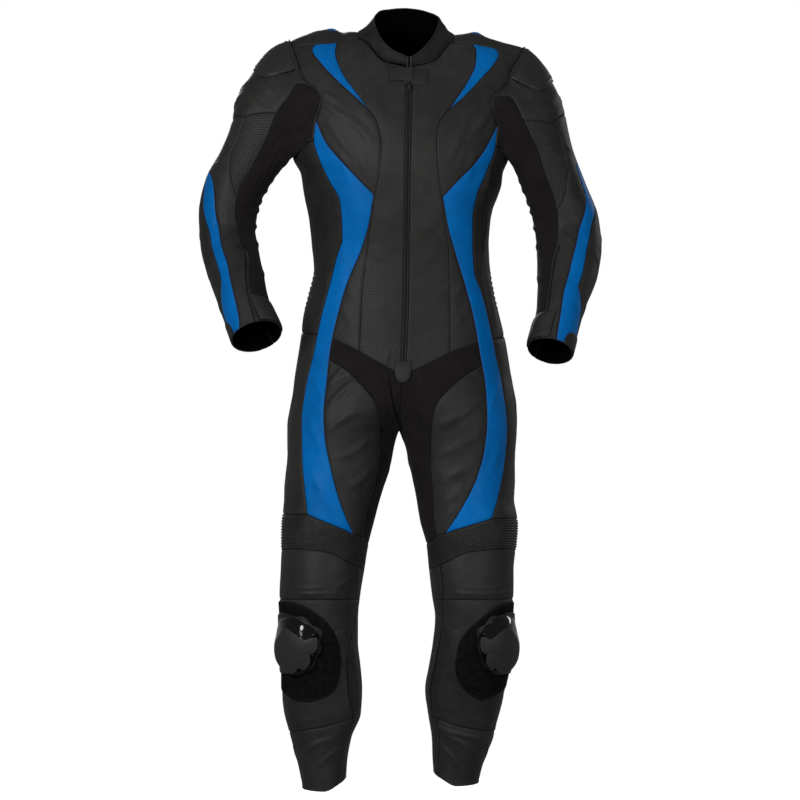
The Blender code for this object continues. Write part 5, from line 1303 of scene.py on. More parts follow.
@once
def zip_cloth():
    """Return the zip's woven tape and its leather welts: welts by their place across the zip. The tape in the valley
    is coloured near black, a painted shade, and the raised welts lighter than the black leather, a painted
    highlight.
    """
    finish = Finish("zip_cloth", 0.12)
    across, down = finish.pair("Cloth")
    welt = across.size().over(1.3, 1.9)
    weave = (across + down).wave(1.1) * 0.12 + (across - down).wave(1.1) * 0.12
    # Painted shade and highlight: the tape in the valley is near black, and the raised welts are lighter than the
    # black leather.
    colour = finish.blend(welt, (0.0006,) * 3, *tones(colour_of("black"), 1.3))
    height = welt * (finish.cells(800.0) * 0.1 + finish.noise(200.0) * 0.25) + weave * (1 - welt)
    return finish.done(colour, 0.85 - welt * 0.4, height)


@once
def zip_metal():
    """Return dark plated metal with small scratches."""
    finish = Finish("zip_metal", 0.5, metallic=1.0)
    scratch = finish.noise(700.0, 4.0, 0.7).over(0.5, 0.8)
    colour = finish.blend(scratch, (0.018, 0.018, 0.019), (0.09, 0.09, 0.092))
    return finish.done(colour, 0.26 + scratch * 0.2, finish.noise(900.0) * 0.04)


@once
def teeth_plastic():
    """Return the zip's moulded teeth: dark plastic with a soft gloss."""
    finish = Finish("teeth_plastic", 0.5)
    tone = finish.noise(500.0)
    return finish.done(finish.blend(tone, (0.002,) * 3, (0.006,) * 3), 0.4 + tone * 0.1, tone * 0.1)


@once
def studio_white():
    """Return the floor's matt white paper with a trace of tone."""
    finish = Finish("studio_white", 0.1, emission_color=(1, 1, 1, 1), emission_strength=0.8)
    tone = finish.noise(3.0)
    return finish.done(finish.blend(tone, (0.62,) * 3, (0.66,) * 3), 0.95, tone * 0.2)


# --- pieces of the suit ---


def make_panel(name, side, kind, step=(4.6, 4.6), free=None, flat=None, extra=None,
               lines=None, ease=0):
    """Make one panel of the body or of a sleeve, in its place on the skin. Each round of ease draws
    the inner points towards the middle of their four neighbours."""
    surface, place, table_of = (("arm", sleeve, SLEEVE_PANELS) if name in SLEEVE_PANELS
                                else ("body", body, BODY_PANELS))
    points = panel_points(place, side, *table_of[name], step)
    for _ in range(ease):
        middle = (points[:-2, 1:-1] + points[2:, 1:-1] + points[1:-1, :-2] + points[1:-1, 2:]) / 4
        points[1:-1, 1:-1] += (middle - points[1:-1, 1:-1]) * 0.8
    measure = Measure(points)
    height = seam_relief(measure, free, flat) + waves(points, measure)
    height += crease_relief(points, surface, side, measure.near) * bpy.context.scene.suit_cloth.crease
    if extra:
        height = height + extra(points, measure, side)
    node = name + "_" + side
    return cloth(node + "_cloth", points, stretch_cloth(kind) if kind.endswith("cloth") else leather(kind),
                 [node], height,
                 trim=0.0 if flat else 0.1, line=lines(side, points, measure) if lines else None)


def closed_rings(name, rings, material, maps=None):
    """Return a closed solid from rings of points, each end closed by a fan on its middle."""
    count, spokes = rings.shape[:2]
    points = np.concatenate([rings[:1].mean(axis=1), rings.reshape(-1, 3), rings[-1:].mean(axis=1)])
    place = 1 + np.arange(count * spokes).reshape(count, spokes)
    after = np.roll(place, -1, axis=1)
    faces = np.stack([place[:-1], after[:-1], after[1:], place[1:]], -1).reshape(-1, 4).tolist()
    faces += [[0, b, a] for a, b in zip(place[0], after[0])]
    faces += [[len(points) - 1, a, b] for a, b in zip(place[-1], after[-1])]
    corner = points[np.array([f[:3] for f in faces])] - points.mean(axis=0)
    if np.einsum("ij,ij->i", corner[:, 0], np.cross(corner[:, 1], corner[:, 2])).sum() < 0:
        faces = [f[::-1] for f in faces]
    return new_piece(name, points, faces, [material], maps)


def lifted(name, grid, gap, thick, material, nodes=(), grooves=None):
    """Make a strip that lies on the skin: its top is the grid raised by gap and thickness, rounded
    down along its edges, and crowned with a sewn groove inside its edge if it has grooves."""
    measure = Measure(grid)
    height = -0.45 * thick * bell(measure.near, 1.4)
    if grooves is not None:
        height = height + 1.0 * grown(measure.near, 5) - 0.9 * bell(measure.near - 3.4, 0.9)
        for edge, away, deep in grooves:
            height = height - deep * bell(getattr(measure, edge) - away, 0.9)
    return cloth(name, grid, material, nodes, height, wall=thick, lift=gap + thick,
                 trim=0.0)


# --- collar, zip and tabs ---

# The collar's tab: reach over its base on each side, heights of the base and the tab, and its end.
TAB_OUT = {"right": 27.0, "left": 43.0}
BASE_TOP, BASE_LOW, TAB_TOP, TAB_LOW, TAB_END = -54.0, -83.0, -51.0, -75.0, 18.0
END_TAB = table("z half", (-577, 14.5), (-596, 14.5), (-607, 12), (-613, 8), (-616, 3.5))
REST_GAP, CURVED_GAP = 0.6, 1.1
YOKE_HUMP, YOKE_DIP = 5.0, 4.0   # the small hump behind each shoulder's ridge, and the dip on the right
FOOT_TUCK = 0.04         # share of its height that the collar goes on under the neckline


def make_collar():
    """Make the collar: both halves in one, with a thick rolled edge at its top."""
    share, rise = spaced(190, 4.2), spaced(68, 3.6) * (1 + FOOT_TUCK) - FOOT_TUCK
    right, left = (collar_half(side, share, rise) for side in SIDES)
    points = np.concatenate([right, left[:, -2::-1]], axis=1)[::-1]
    measure = Measure(points)
    height = (0.6 * bell(measure.top - 2.4, 2.4) - 0.4 * bell(measure.top - 6.5, 1.8)
              - 2.2 * bell(measure.bottom, 5.0)
              + 0.8 * np.sin(measure.across / 17 + 2 * np.sin(measure.down / 23)) * np.sin(np.pi * measure.row) ** 2
              + 0.35 * np.sin(measure.across / 6.1 + measure.down / 9))
    return cloth("collar_cover", points, collar_cloth(), ["collar"], height, wall=2.6)


def make_yoke():
    """Make the yoke over both shoulders, from armhole to armhole round the neck."""
    right, left = (yoke_half(side, 4.6) for side in SIDES)
    points = np.concatenate([right, left[-2::-1]], axis=0)
    measure = Measure(points)
    x, y, _ = np.moveaxis(points, -1, 0)
    height = (seam_relief(measure) + waves(points, measure)
              + YOKE_HUMP * bell(np.abs(x) - 130, 13) * bell(y - 14, 11) - YOKE_DIP * bell(x + 113, 9) * bell(y, 22))
    return cloth("yoke_cover", points, shoulder_leather(), ["yoke"], height)


def make_back():
    """Make the back panel, with the ribbed field over the small of the back."""
    step = (5.0, 1.9)
    rows = panel_rows(body, "right", *BODY_PANELS["back"], step)
    halves = [panel_points(body, side, *BODY_PANELS["back"], step, rows) for side in SIDES]
    points = np.concatenate([halves[0], halves[1][:, 1:]], axis=1)
    measure = Measure(points)
    height = seam_relief(measure) + waves(points, measure) + lumbar_ribs(points, measure)
    middle = halves[0].shape[1]
    for side, part in (("right", slice(0, middle)), ("left", slice(middle, None))):
        height[:, part] += crease_relief(points[:, part], "body", side, measure.near[:, part])
    return cloth("back_cloth", points, leather("black"), ["back"], height)


def make_roll(name, line, radius, closed, material):
    """Make the seam's inner roll: a circle carried along a line, where two pieces meet at an angle."""
    ahead = unit(np.roll(line, -1, axis=0) - np.roll(line, 1, axis=0) if closed else np.gradient(line, axis=0))
    first = unit(np.cross(ahead, [0.3, 0.9, 0.31]))
    second = np.cross(ahead, first)
    turn = np.linspace(0, 2 * np.pi, 9)[:-1, None]
    rings = line[:, None] + radius * (first[:, None] * np.cos(turn) + second[:, None] * np.sin(turn))
    if closed:
        place = np.arange(len(line) * 8).reshape(-1, 8)
        after, below = np.roll(place, -1, axis=1), np.roll(place, -1, axis=0)
        quads = np.stack([place, after, np.roll(below, -1, axis=1), below], -1).reshape(-1, 4)
        piece = new_piece(name, rings, quads.tolist(), [material])
    else:
        piece = closed_rings(name, rings, material)
    return finish_piece(piece, [])


def make_rolls():
    """Make the rolls under the armholes, the neckline and the crotch's front and back seams."""
    for side in SIDES:
        loop = LOOPS[side]
        make_roll("armhole_roll_" + side, loop + unit(loop.mean(axis=0) - loop) * 2.3, 2.0, True, leather("roll"))
    right, left = (collar_half(side, spaced(190, 5.0), np.array([0.0]))[0] for side in SIDES)
    neck = np.concatenate([right, left[-2::-1]]) - np.array([0, 0, 2.4])
    # The neck roll takes the reverse's near-black colour, a painted shade in the seam under the collar.
    make_roll("neck_roll", neck, 1.8, False, reverse_cloth())
    row = np.linspace(WAIST_V, CROTCH, 24)
    for name, line, y in (("crotch_roll_front", at_centre, 2.6), ("crotch_roll_back", at_back, -2.6)):
        make_roll(name, body("right", *line("right", row)) + np.array([0, y, 0]), 1.6, False, leather("roll"))


COLLAR_ROWS, ZIP_ROWS = 16, 170   # rows of the zip that lie on the collar and below it
TOOTH_PITCH, TEETH_TOP, TEETH_END = 2.6, 70.0, 24


def zip_lines():
    """Return the zip's left edge, middle and right edge, from the collar's edge to the crotch."""
    rise = np.linspace(1, 0, COLLAR_ROWS)
    left, right = (collar_half(side, np.array([0.0]), rise)[:, 0] for side in ("left", "right"))
    rows = np.linspace(TOP, WAIST_V, ZIP_ROWS)
    lower = [body(side, *at_zip(side, rows)) for side in ("left", "right")]
    lower.insert(1, body("right", *at_centre("right", rows)))
    return [np.concatenate([a[:-1], b]) for a, b in zip((left, (left + right) / 2, right), lower)]


def make_zip():
    """Make the zip: across it two rounded ridges, the welts, beside a narrow valley with its teeth."""
    left, middle, right = (line[:, None] for line in zip_lines())
    share = np.linspace(-1, 1, 21)[:, None]
    across = np.where(share < 0, middle + (left - middle) * -share, middle + (right - middle) * share)
    off = share[:, 0] * ZIP_HALF + 0 * across[..., 0]
    raised = np.clip((np.arange(len(middle)) - COLLAR_ROWS + 1) / 3, 0.25, 1)[:, None]
    height = 2.2 * raised * bell(np.abs(off) - 3.1, 1.3) - 1.6 * bell(off, 1.1)
    cloth("zip_tape", across, zip_cloth(), ["zip"], height, wall=1.6)
    middle = middle[:, 0]
    run = lengths(middle, 0)
    places = np.arange(TEETH_TOP, run[-1] - TEETH_END, TOOTH_PITCH)
    spine = np.stack([np.interp(places, run, middle[:, k]) for k in range(3)], -1)
    ahead = unit(np.gradient(spine, axis=0))
    out = np.cross(np.array([1.0, 0, 0]), ahead)
    out *= -np.sign(out[:, 1:2])
    cross = np.cross(ahead, out)
    turn = np.radians(np.arange(0, 360, 60) + 30)[:, None]
    parts = []
    for hand in (-1, 1):
        centre = spine + ahead * (TOOTH_PITCH / 4 * hand) + cross * (0.55 * hand) - out * 0.1
        for level, size in ((-0.5, 1.0), (0.35, 1.0), (0.6, 0.6)):
            parts.append(centre[:, None] + cross[:, None] * (np.cos(turn) * 0.95 * size)
                         + ahead[:, None] * (np.sin(turn) * 0.62 * size) + out[:, None] * level)
    teeth = np.stack(parts, 1).reshape(-1, 3, 6, 3)
    base = np.arange(len(teeth))[:, None] * 18
    side = np.array([[k, (k + 1) % 6, (k + 1) % 6 + 6, k + 6] for k in range(6)])
    caps = np.array([range(12, 18), range(5, -1, -1)])
    faces = ((base[..., None] + np.concatenate([side, side + 6])).reshape(-1, 4).tolist()
             + (base[..., None] + caps).reshape(-1, 6).tolist())
    return finish_piece(new_piece("zip_teeth", teeth, faces, [teeth_plastic()]), [])


def front_grid(top, low, right, left, steps):
    """Return a grid on the skin across the centre front; right and left are reaches by height."""
    down, share = spaced(top - low, steps[1])[:, None], spaced(float(np.max(right) + np.max(left)), steps[0])
    z = top + (low - top) * down + 0 * share
    right, left = (np.broadcast_to(reach, len(down))[:, None] for reach in (right, left))
    x = left - (right + left) * share
    on_left, on_right = body("left", turn_at("left", x, z), z), body("right", turn_at("right", -x, z), z)
    return np.where((x > column(CENTRE, "x", z))[..., None], on_left, on_right)


def make_tabs():
    """Make the collar's tab on its base and the tab that covers the zip's foot."""
    black = leather("black")
    lifted("collar_tab_base", front_grid(BASE_TOP, BASE_LOW, 2.0, TAB_OUT["left"], (1.4, 1.4)), 1.6, 1.1, black,
           grooves=[("left", 15, 0.8)])
    lifted("collar_tab_strap", front_grid(TAB_TOP, TAB_LOW, TAB_OUT["right"], TAB_END, (1.4, 1.2)), 3.0, 2.2, black,
           ["collar_tab"], grooves=[])
    top, low = END_TAB["z"][-1], END_TAB["z"][0]
    z = top + (low - top) * spaced(39, 1.3)
    lean, half = column(CENTRE, "x", z), column(END_TAB, "half", z)
    lifted("zip_end_cover", front_grid(top, low, half - lean, half + lean, (1.3, 1.3)), 2.0, 1.7, black,
           ["zip_end_tab"], grooves=[("top", 9, 0.9)])


# Each cuff's strap and the worn corner at the foot of its stripe: turns and runs.
STRAPS = {"right": ((-96.0, -9.0), (0.932, 0.997)), "left": ((-96.0, -4.0), (0.948, 0.997))}
CORNERS = {"right": ((62.0, 190.0), 0.038), "left": ((35.0, 190.0), 0.026)}


def make_cuff(side):
    """Make the strap that closes a cuff and the small corner piece on its outer side."""
    (first, last), (start, end) = STRAPS[side]
    run = start + (end - start) * spaced(40, 1.8)[:, None]
    grid = sleeve(side, first + (last - first) * spaced(60, 2.2), run)
    lifted("cuff_strap_" + side, outwards(side, grid), 1.6, 2.1, leather("black"),
           ["cuff_" + side], grooves=[])
    (first, last), deep = CORNERS[side]
    share, up = spaced(100, 2.4), 1 - spaced(22, 2.0)[:, None]
    rise = deep * (1 - np.abs(2 * share - 1) ** 5) ** 0.4
    grid = sleeve(side, first + (last - first) * share, 1 - rise * up - 0.001 * up)
    lifted("cuff_corner_" + side, outwards(side, grid), 1.0, 1.2, leather("black"))


# --- armour ---

PATCH_THICK = 1.6
PATCH_EDGE = {"right": table("turn top low", (-31, -1093, -1113), (-27, -1077, -1140), (-18, -1056, -1167),
        (-6, -1039, -1179), (19, -1018, -1189), (39, -1011, -1188), (60, -1009, -1178), (103, -1009, -1162)),
    "left": table("turn top low", (-21, -1092, -1118), (-17, -1076, -1138), (-8, -1059, -1158),
        (5, -1044, -1174), (28, -1022, -1186), (50, -1013, -1178), (75, -1010, -1168), (103, -1010, -1160))}
# The puck, seen from in front: the place of its middle, and the reach of its foot and of its face by
# their angle from the leg's inner side. NARROW draws in its inner side.
PUCK_PLACE = {"right": (194.4, -1092.6), "left": (168.3, -1091.7)}
NARROW = {"right": 1.0, "left": 0.8}
PUCK_FOOT = ((0, 40), (17, 44), (33, 49), (57, 49), (83, 52), (109, 60), (117, 60), (130, 52), (151, 44),
    (182, 41), (218, 44), (239, 46), (260, 44), (278, 41), (303, 41), (333, 38), (345, 38))
PUCK_FACE = ((1, 37), (20, 43), (31, 45), (41, 34), (51, 25), (69, 24), (90, 28), (103, 34), (116, 44),
    (140, 41), (165, 40), (182, 40), (218, 42), (240, 43), (260, 42), (272, 34), (279, 31), (292, 36),
    (304, 35), (320, 33), (335, 29), (345, 25), (352, 31))
# Its rings: size, share of the way from the foot's outline to the face's, and height.
PUCK_RINGS = table("ring size mix height", (0, 1.10, 0, 0.0), (1, 1.10, 0, 2.0), (2, 1.06, 0, 2.8),
    (3, 1.0, 0, 3.2), (4, 0.985, 0.03, 5.0), (5, 0.985, 0.5, 11.5), (6, 0.99, 0.94, 17.4), (7, 0.985, 1, 18.4),
    (8, 0.955, 1, 18.9), (9, 0.90, 1, 19.2), (10, 0.5, 1, 20.6), (11, 0.04, 1, 21.2))


def make_patch(side):
    """Make the hook-and-loop field on the shin, round on its inner side."""
    edge = PATCH_EDGE[side]
    first, last = edge["turn"][0], edge["turn"][-1]
    turns = first + (last - first) * spaced(170, 3.0) ** 1.15
    top, low = column(edge, "top", turns), column(edge, "low", turns)
    grid = body(side, turns, top + (low - top) * spaced(160, 3.4)[:, None])
    lifted("knee_field_" + side, outwards(side, grid), CURVED_GAP, PATCH_THICK, hook_field(),
           ["knee_patch_" + side])


def skin_normal(side, turn, z):
    """Return the body's outward normals from small steps of turn and height."""
    across = body(side, turn + 0.5, z) - body(side, turn - 0.5, z)
    return unit(np.cross(across, body(side, turn, z - 0.5) - body(side, turn, z + 0.5)) * -SIDES[side])


def around(rows, angle):
    """Return the reach at angles round a closed outline, smooth through its named points."""
    rows = np.array([(a + 360 * k, r) for k in (-1, 0, 1) for a, r in rows], float)
    return smooth(rows[:, 0], rows[:, 1], angle)


def raised_place(side, out, z, height):
    """Return points at a height over the front of the leg that lie at out and z, seen from in front.

    The turn's sine is found by repeated correction for the height's own share outwards."""
    outer, half = section(side, z, False)
    deep = column(DEPTH, "front", z)
    sine = np.clip((out - outer + half) / half, -1, 1)
    for _ in range(14):
        lean = (sine / half) / np.hypot(sine / half, np.sqrt(1 - sine ** 2) / deep)
        sine = np.clip(0.5 * sine + 0.5 * (out - outer + half - height * lean) / half, -0.99, 0.99)
    turn = np.degrees(np.arcsin(sine))
    return body(side, turn, z) + skin_normal(side, turn, z) * height[..., None]


def make_puck(side):
    """Make the knee slider: rings between the outlines of its scalloped foot and its nearly flat
    face, at heights over the field."""
    level = np.linspace(0, len(PUCK_RINGS["ring"]) - 1, 67)[:, None]
    size, mix, height = (column(PUCK_RINGS, name, level) for name in ("size", "mix", "height"))
    degrees = np.linspace(0, 360, 180, endpoint=False)
    angle = np.radians(degrees)
    foot = around(PUCK_FOOT, degrees) * (1 + 0.045 * np.cos(9 * angle + 0.6) * within((3.1 - height) / 0.6))
    reach = size * (foot + (around(PUCK_FACE, degrees) - foot) * mix)
    inwards = reach * np.cos(angle)
    out = PUCK_PLACE[side][0] - np.where(inwards > 0, NARROW[side], 1) * inwards
    z = PUCK_PLACE[side][1] + reach * np.sin(angle)
    rings = raised_place(side, out, z, CURVED_GAP + PATCH_THICK + REST_GAP + height + 0 * angle)
    marks = np.stack([within((edge - height) / soft) + 0 * angle for edge, soft in ((18.9, 0.6), (3.6, 0.8))], -1)
    marks = np.concatenate([[[1, 1]], marks.reshape(-1, 2), [[0, 0]]])
    piece = closed_rings("knee_puck_" + side, rings, puck_plastic(), {"Cloth": marks})
    finish_piece(piece, ["knee_slider_" + side])


# Each cup: its turns and how far it reaches down the arm.
CUPS = {"right": ((35.0, 150.0), 0.17), "left": ((30.0, 150.0), 0.21)}
CUP_TOP = 0.004


def make_cup(side):
    """Make the shoulder cup: a low dome with a sunk band inside a double roll along its edge. Its
    reach down the arm is a root of an even power curve, which rounds its corners."""
    (first, last), deep = CUPS[side]
    share, across = spaced(70, 1.7)[:, None], spaced(190, 2.4)
    low = (deep - CUP_TOP) * np.maximum(1 - np.abs(2 * across - 1) ** 3.2, 0.002) ** 0.31
    grid = outwards(side, sleeve(side, first + (last - first) * across, CUP_TOP + low * share))
    measure = Measure(grid)
    near = np.minimum(measure.bottom, np.minimum(measure.side * 1.3 + 1, measure.top + 2))
    height = (2.6 * grown(near, 12) + 1.3 * bell(near - 2.2, 1.4) + 1.1 * bell(near - 9.5, 1.6)
              - 1.0 * bell(near - 5.8, 1.5) - 2.2 * bell(near, 1.2))
    cloth("shoulder_armour_" + side, grid, cup_plastic(), ["shoulder_cup_" + side], height,
          wall=2.4, lift=2.6, trim=0.0, declare=False)


# --- zip slider and its pull ---

SLIDER_Z, SLIDER_TALL, SLIDER_DEEP = -83.0, 12.0, 4.0
PULL_TALL, PULL_THICK, PULL_GAP, PULL_RISE = 15.0, 1.4, 0.4, -1.0


def make_slider():
    """Make the zip's slider, two tapered plates with a bridge, and its pull on the hinge: rings of a
    rounded rectangle, given by their size and how far out they lie."""
    here, above = (body("right", turn_at("right", -column(CENTRE, "x", z), z), np.array(z))
                   for z in (SLIDER_Z, SLIDER_Z + SLIDER_TALL))
    slope = above - here
    tilt = math.atan2(-slope[1], slope[2])
    out, along = np.array([0, -math.cos(tilt), -math.sin(tilt)]), np.array([0, -math.sin(tilt), math.cos(tilt)])
    angle = np.linspace(0, 2 * np.pi, 40, endpoint=False)
    drop = -(PULL_TALL - PULL_THICK) / 2
    hinge = out * (REST_GAP + SLIDER_DEEP + PULL_GAP + PULL_THICK / 2) + along * (PULL_RISE + drop)
    for name, middle, (wide, tall, power, taper), profile, nodes, rides in (
            ("zip_slider_body", out * REST_GAP, (9.0, 12.0, 3.2, 0.14),
             ((0.9, 0.0), (1.0, 0.3), (1.0, 1.0), (0.86, 1.3), (0.86, 1.9), (1.0, 2.2), (1.0, 2.9), (0.88, 3.2),
              (0.5, 3.3)), ["zip_slider"], "suit"),
            ("zip_slider_bridge", out * REST_GAP + along, (3.0, 7.5, 2.6, 0),
             ((1.0, 3.0), (1.0, 3.7), (0.8, 4.0), (0.4, 4.1)), [], "suit"),
            ("zip_pull_tab", hinge, (5.0, PULL_TALL, 3.4, -0.1),
             ((0.86, -0.7), (1.0, -0.45), (1.0, 0.45), (0.86, 0.7), (0.62, 0.45), (0.3, 0.42)),
             ["zip_pull"], "pull")):
        x, y = (np.sign(v) * np.abs(v) ** (2 / power) for v in (np.cos(angle), np.sin(angle)))
        x, y = x * wide / 2 * (1 + taper * y), y * tall / 2
        rings = np.array([here + middle + np.outer(x * size, [1.0, 0, 0]) + np.outer(y * size, along) + out * depth
                          for size, depth in profile])
        finish_piece(closed_rings(name, rings, zip_metal()), nodes, rides)


# --- settings, operators and panel ---

class SuitCloth(bpy.types.PropertyGroup):
    """Sizes of the suit's cloth."""

    wall: FloatProperty(name="Wall", description="Thickness of the leather and the stretch cloth",
                        default=0.0018, min=0.001, max=0.003, unit="LENGTH")
    seam_depth: FloatProperty(name="Seam depth", description="How far the cloth dips at a seam",
                              default=0.0012, min=0.0, max=0.003, unit="LENGTH")
    crease: FloatProperty(name="Creases", description="Strength of the creases", default=1.5, min=0.0, max=2.0)


def colour_setting(name, *colour):
    """Return a setting that holds a colour."""
    return FloatVectorProperty(name=name, description="Colour of the " + name.lower(), default=colour, size=3,
                               subtype="COLOR")


class SuitColours(bpy.types.PropertyGroup):
    """Colours of the suit."""

    black: colour_setting("Black leather", 0.0150, 0.0147, 0.0140)
    blue: colour_setting("Blue leather", 0.0, 0.098, 0.322)
    stretch: colour_setting("Stretch cloth", 0.0075, 0.0063, 0.0068)
    puck: colour_setting("Knee pucks", 0.0135, 0.0131, 0.0124)


class SuitStage(bpy.types.PropertyGroup):
    """The studio."""

    distance: FloatProperty(name="Camera distance", description="Distance of the camera from the suit",
                            default=30.0, min=3.0, max=60.0, unit="LENGTH")
    key: FloatProperty(name="Key light", description="Power of the main softbox in watts", default=85.0,
                       min=0.0, max=2000.0)
    fill: FloatProperty(name="Fill light", description="Power of the other softboxes in watts", default=36.0,
                        min=0.0, max=2000.0)
    sky: FloatProperty(name="Surroundings", description="Light from the white surroundings",
                       default=0.24, min=0.0, max=4.0)


FRONT_STEP, LONG_STEP = (4.0, 4.4), (4.0, 4.6)


class SUIT_OT_front(bpy.types.Operator):
    """Front panels: perforated centre, blue crescents, chest and belly."""

    bl_idname = "suit.front"
    bl_label = "Front panels"

    def execute(self, context):
        kinds = {"front_centre": "dotted", "crescent": "blue", "chest": "black", "belly": "black"}
        for name, kind in kinds.items():
            for side in SIDES:
                make_panel(name, side, kind, step=FRONT_STEP)
        return {"FINISHED"}


class SUIT_OT_sides(bpy.types.Operator):
    """Side panels: the long blue panels, the perforated sides and the outer thighs."""

    bl_idname = "suit.sides"
    bl_label = "Side panels"

    def execute(self, context):
        for side in SIDES:
            make_panel("blue_side", side, "blue", step=LONG_STEP)
            make_panel("side", side, "diagonal", step=(4.6, 2.6), extra=side_ribs)
            make_panel("outer_thigh", side, "black")
        return {"FINISHED"}


class SUIT_OT_back(bpy.types.Operator):
    """Back: the yoke, the back panel with its ribbed field, and the seat."""

    bl_idname = "suit.back"
    bl_label = "Back panels"

    def execute(self, context):
        make_yoke()
        make_back()
        for side in SIDES:
            make_panel("seat", side, "black", flat=side, ease=20)
        return {"FINISHED"}


class SUIT_OT_thighs(bpy.types.Operator):
    """Thighs: the stretch panel over the crotch and the leather beside it."""

    bl_idname = "suit.thighs"
    bl_label = "Thigh panels"

    def execute(self, context):
        for side in SIDES:
            make_panel("stretch", side, "stretch_cloth", step=(2.2, 2.8),
                       flat="left" if side == "right" else "right", ease=30)
            make_panel("thigh", side, "black", step=(3.6, 4.0))
        return {"FINISHED"}


class SUIT_OT_legs(bpy.types.Operator):
    """Lower legs: ribbed knee, knee panel, shin, ankle and calf."""

    bl_idname = "suit.legs"
    bl_label = "Lower legs"

    def execute(self, context):
        for side in SIDES:
            make_panel("accordion", side, "black", step=(3.6, 0.95), extra=knee_ribs)
            make_panel("knee", side, "lined", step=(4.0, 2.6), lines=leg_lines)
            make_panel("shin", side, "lined", step=(4.0, 4.0), lines=leg_lines)
            make_panel("ankle", side, "lined", step=(3.6, 3.0), free="bottom", lines=leg_lines)
            make_panel("calf", side, "black", free="bottom")
        return {"FINISHED"}


class SUIT_OT_sleeves(bpy.types.Operator):
    """Sleeves: stretch inside the arm, upper arm, square-holed panel, forearm, blue stripe and elbow."""

    bl_idname = "suit.sleeves"
    bl_label = "Sleeves"

    def execute(self, context):
        for side in SIDES:
            make_panel("upper_arm", side, "black", step=(4.6, 4.2))
            make_panel("arm_stretch", side, "arm_stretch_cloth", step=(1.9, 3.4),
                       free="bottom", extra=gathers)
            make_panel("arm_grid", side, "square", step=(3.6, 4.0))
            make_panel("forearm", side, "lined", step=(3.4, 4.2), free="bottom", lines=arm_line)
            make_panel("blue_stripe", side, "blue", step=(3.0, 4.2), free="bottom")
            make_panel("elbow", side, "black", free="bottom")
        return {"FINISHED"}


class SUIT_OT_collar(bpy.types.Operator):
    """Collar, its tab, the front zip and the tab at its foot, and the cuff straps."""

    bl_idname = "suit.collar"
    bl_label = "Collar, zip and tabs"

    def execute(self, context):
        make_collar()
        make_rolls()
        make_zip()
        make_tabs()
        for side in SIDES:
            make_cuff(side)
        return {"FINISHED"}


class SUIT_OT_armour(bpy.types.Operator):
    """Armour: shoulder cups, hook-and-loop fields and the knee pucks on them."""

    bl_idname = "suit.armour"
    bl_label = "Armour"

    def execute(self, context):
        for make in (make_cup, make_patch, make_puck):
            for side in SIDES:
                make(side)
        return {"FINISHED"}


class SUIT_OT_slider(bpy.types.Operator):
    """The zip's slider and its pull."""

    bl_idname = "suit.slider"
    bl_label = "Zip slider"

    def execute(self, context):
        make_slider()
        return {"FINISHED"}


LENS, SENSOR = 750.0, 36.0
AIM = (-0.0074, 0.0, -0.647)
FLOOR_Z, FLOOR_REACH, FLOOR_RINGS, FLOOR_SPOKES = -1.362, 1.5, 24, 96
# Softboxes: kind, place, aim and size in metres, and share of the key or the fill light.
SOFTBOXES = (("key", (-1.8, -2.9, 0.2), (0, 0, -0.6), 1.1, 1.0), ("fill", (1.5, -3.0, -0.4),
    (0, 0, -0.8), 1.4, 1.0), ("fill", (-0.7, 3.6, 0.8), (0, 0, -0.6), 1.4, 1.8), ("fill", (2.6, 2.6, 0.6),
    (0, 0, -0.4), 0.8, 0.35), ("fill", (0.0, -1.6, 2.6), (0, 0, -0.1), 1.2, 0.2))


def put(context, name, data, place, turn):
    """Put a light or a camera in the scene, and return its object."""
    item = bpy.data.objects.new(name, data)
    item.location, item.rotation_euler = place, turn
    context.scene.collection.objects.link(item)
    return item


def make_floor():
    """Make the floor: a disc of rings round its middle."""
    angle = np.linspace(0, 2 * np.pi, FLOOR_SPOKES, endpoint=False)
    reach = np.linspace(0.02, FLOOR_REACH, FLOOR_RINGS)[:, None]
    points = np.stack([reach * np.cos(angle), reach * np.sin(angle), 0 * reach * angle + FLOOR_Z], -1) / MM
    place = np.arange(FLOOR_RINGS * FLOOR_SPOKES).reshape(FLOOR_RINGS, FLOOR_SPOKES)
    after = np.roll(place, -1, axis=1)
    quads = np.stack([place[:-1], place[1:], after[1:], after[:-1]], -1).reshape(-1, 4).tolist()
    floor = new_piece("studio_floor", points, quads + [place[0].tolist()], [studio_white()])
    floor.visible_diffuse = floor.visible_glossy = False


def make_sky(context, bright):
    """Make the surroundings: white to the camera, and as bright as the setting for all other rays."""
    world = context.scene.world = bpy.data.worlds.new("studio")
    world.use_nodes = True
    nodes, links = world.node_tree.nodes, world.node_tree.links
    back, ways, level = nodes["Background"], nodes.new("ShaderNodeLightPath"), nodes.new("ShaderNodeMapRange")
    back.inputs["Color"].default_value = (1, 1, 1, 1)
    links.new(ways.outputs["Is Camera Ray"], level.inputs[0])
    for place, value in enumerate((0.0, 1.0, bright, 1.0), 1):
        level.inputs[place].default_value = value
    links.new(level.outputs[0], back.inputs["Strength"])


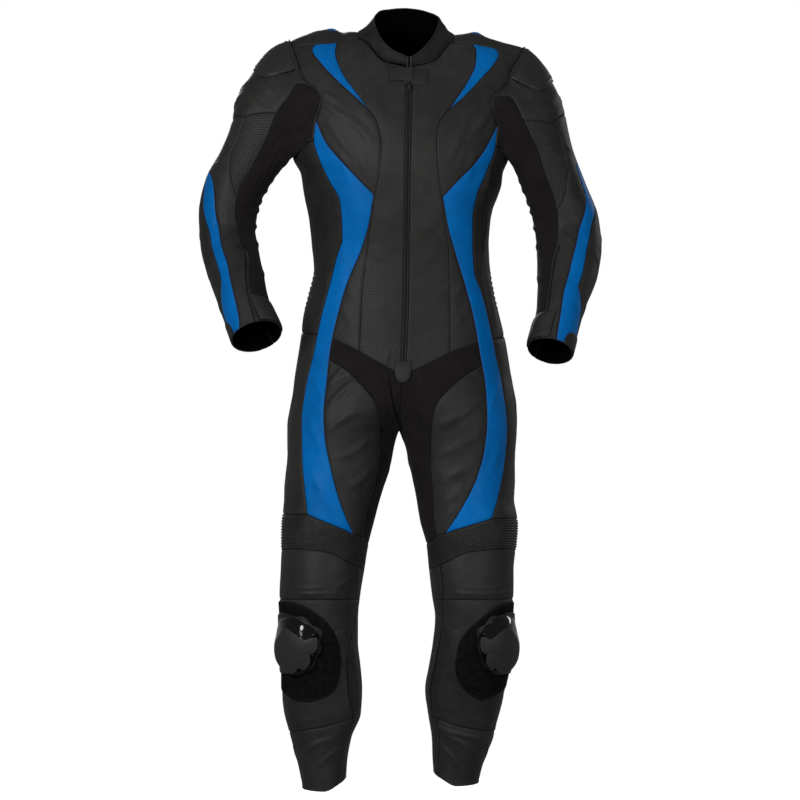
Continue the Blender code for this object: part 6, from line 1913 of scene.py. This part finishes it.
class SUIT_OT_stage(bpy.types.Operator):
    """Studio: white floor, bright surroundings, softboxes and the camera."""

    bl_idname = "suit.stage"
    bl_label = "Studio"

    def execute(self, context):
        settings = context.scene.suit_stage
        make_floor()
        for kind, spot, aim, size, share in SOFTBOXES:
            light = bpy.data.lights.new("softbox", "AREA")
            light.shape, light.size = "DISK", size
            light.energy = share * (settings.key if kind == "key" else settings.fill)
            x, y, z = (a - b for a, b in zip(aim, spot))
            put(context, "softbox", light, spot, (math.atan2(math.hypot(x, y), -z), 0.0, math.atan2(-x, y)))
        make_sky(context, settings.sky)
        camera = bpy.data.cameras.new("camera")
        camera.lens, camera.sensor_width = LENS, SENSOR
        context.scene.camera = put(context, "camera", camera, (AIM[0], -settings.distance, AIM[2]),
                                   (math.pi / 2, 0, 0))
        context.scene.view_settings.view_transform = "Standard"
        return {"FINISHED"}


GROUPS = {"suit_cloth": SuitCloth, "suit_colours": SuitColours, "suit_stage": SuitStage}
STEPS = (SUIT_OT_back, SUIT_OT_front, SUIT_OT_sides, SUIT_OT_thighs, SUIT_OT_legs, SUIT_OT_sleeves,
    SUIT_OT_collar, SUIT_OT_armour, SUIT_OT_slider, SUIT_OT_stage)


class SUIT_PT_panel(bpy.types.Panel):
    """The suit's settings and steps."""

    bl_label = "Race suit"
    bl_idname = "SUIT_PT_panel"
    bl_space_type = "VIEW_3D"
    bl_region_type = "UI"
    bl_category = "Race suit"

    def draw(self, context):
        for name, group in GROUPS.items():
            for setting in group.__annotations__:
                self.layout.prop(getattr(context.scene, name), setting)
        for step in STEPS:
            self.layout.operator(step.bl_idname)


def register():
    """Register the classes and hang the settings on the scene."""
    for item in (*GROUPS.values(), *STEPS, SUIT_PT_panel):
        bpy.utils.register_class(item)
    for name, group in GROUPS.items():
        setattr(bpy.types.Scene, name, PointerProperty(type=group))


def unregister():
    """Take the settings off the scene and the classes out."""
    for name in GROUPS:
        delattr(bpy.types.Scene, name)
    for item in reversed((*GROUPS.values(), *STEPS, SUIT_PT_panel)):
        bpy.utils.unregister_class(item)


def main():
    """Build every group."""
    register()
    for step in STEPS:
        group, name = step.bl_idname.split(".")
        getattr(getattr(bpy.ops, group), name)()
    bpy.context.view_layer.update()


if __name__ == "__main__":
    main()
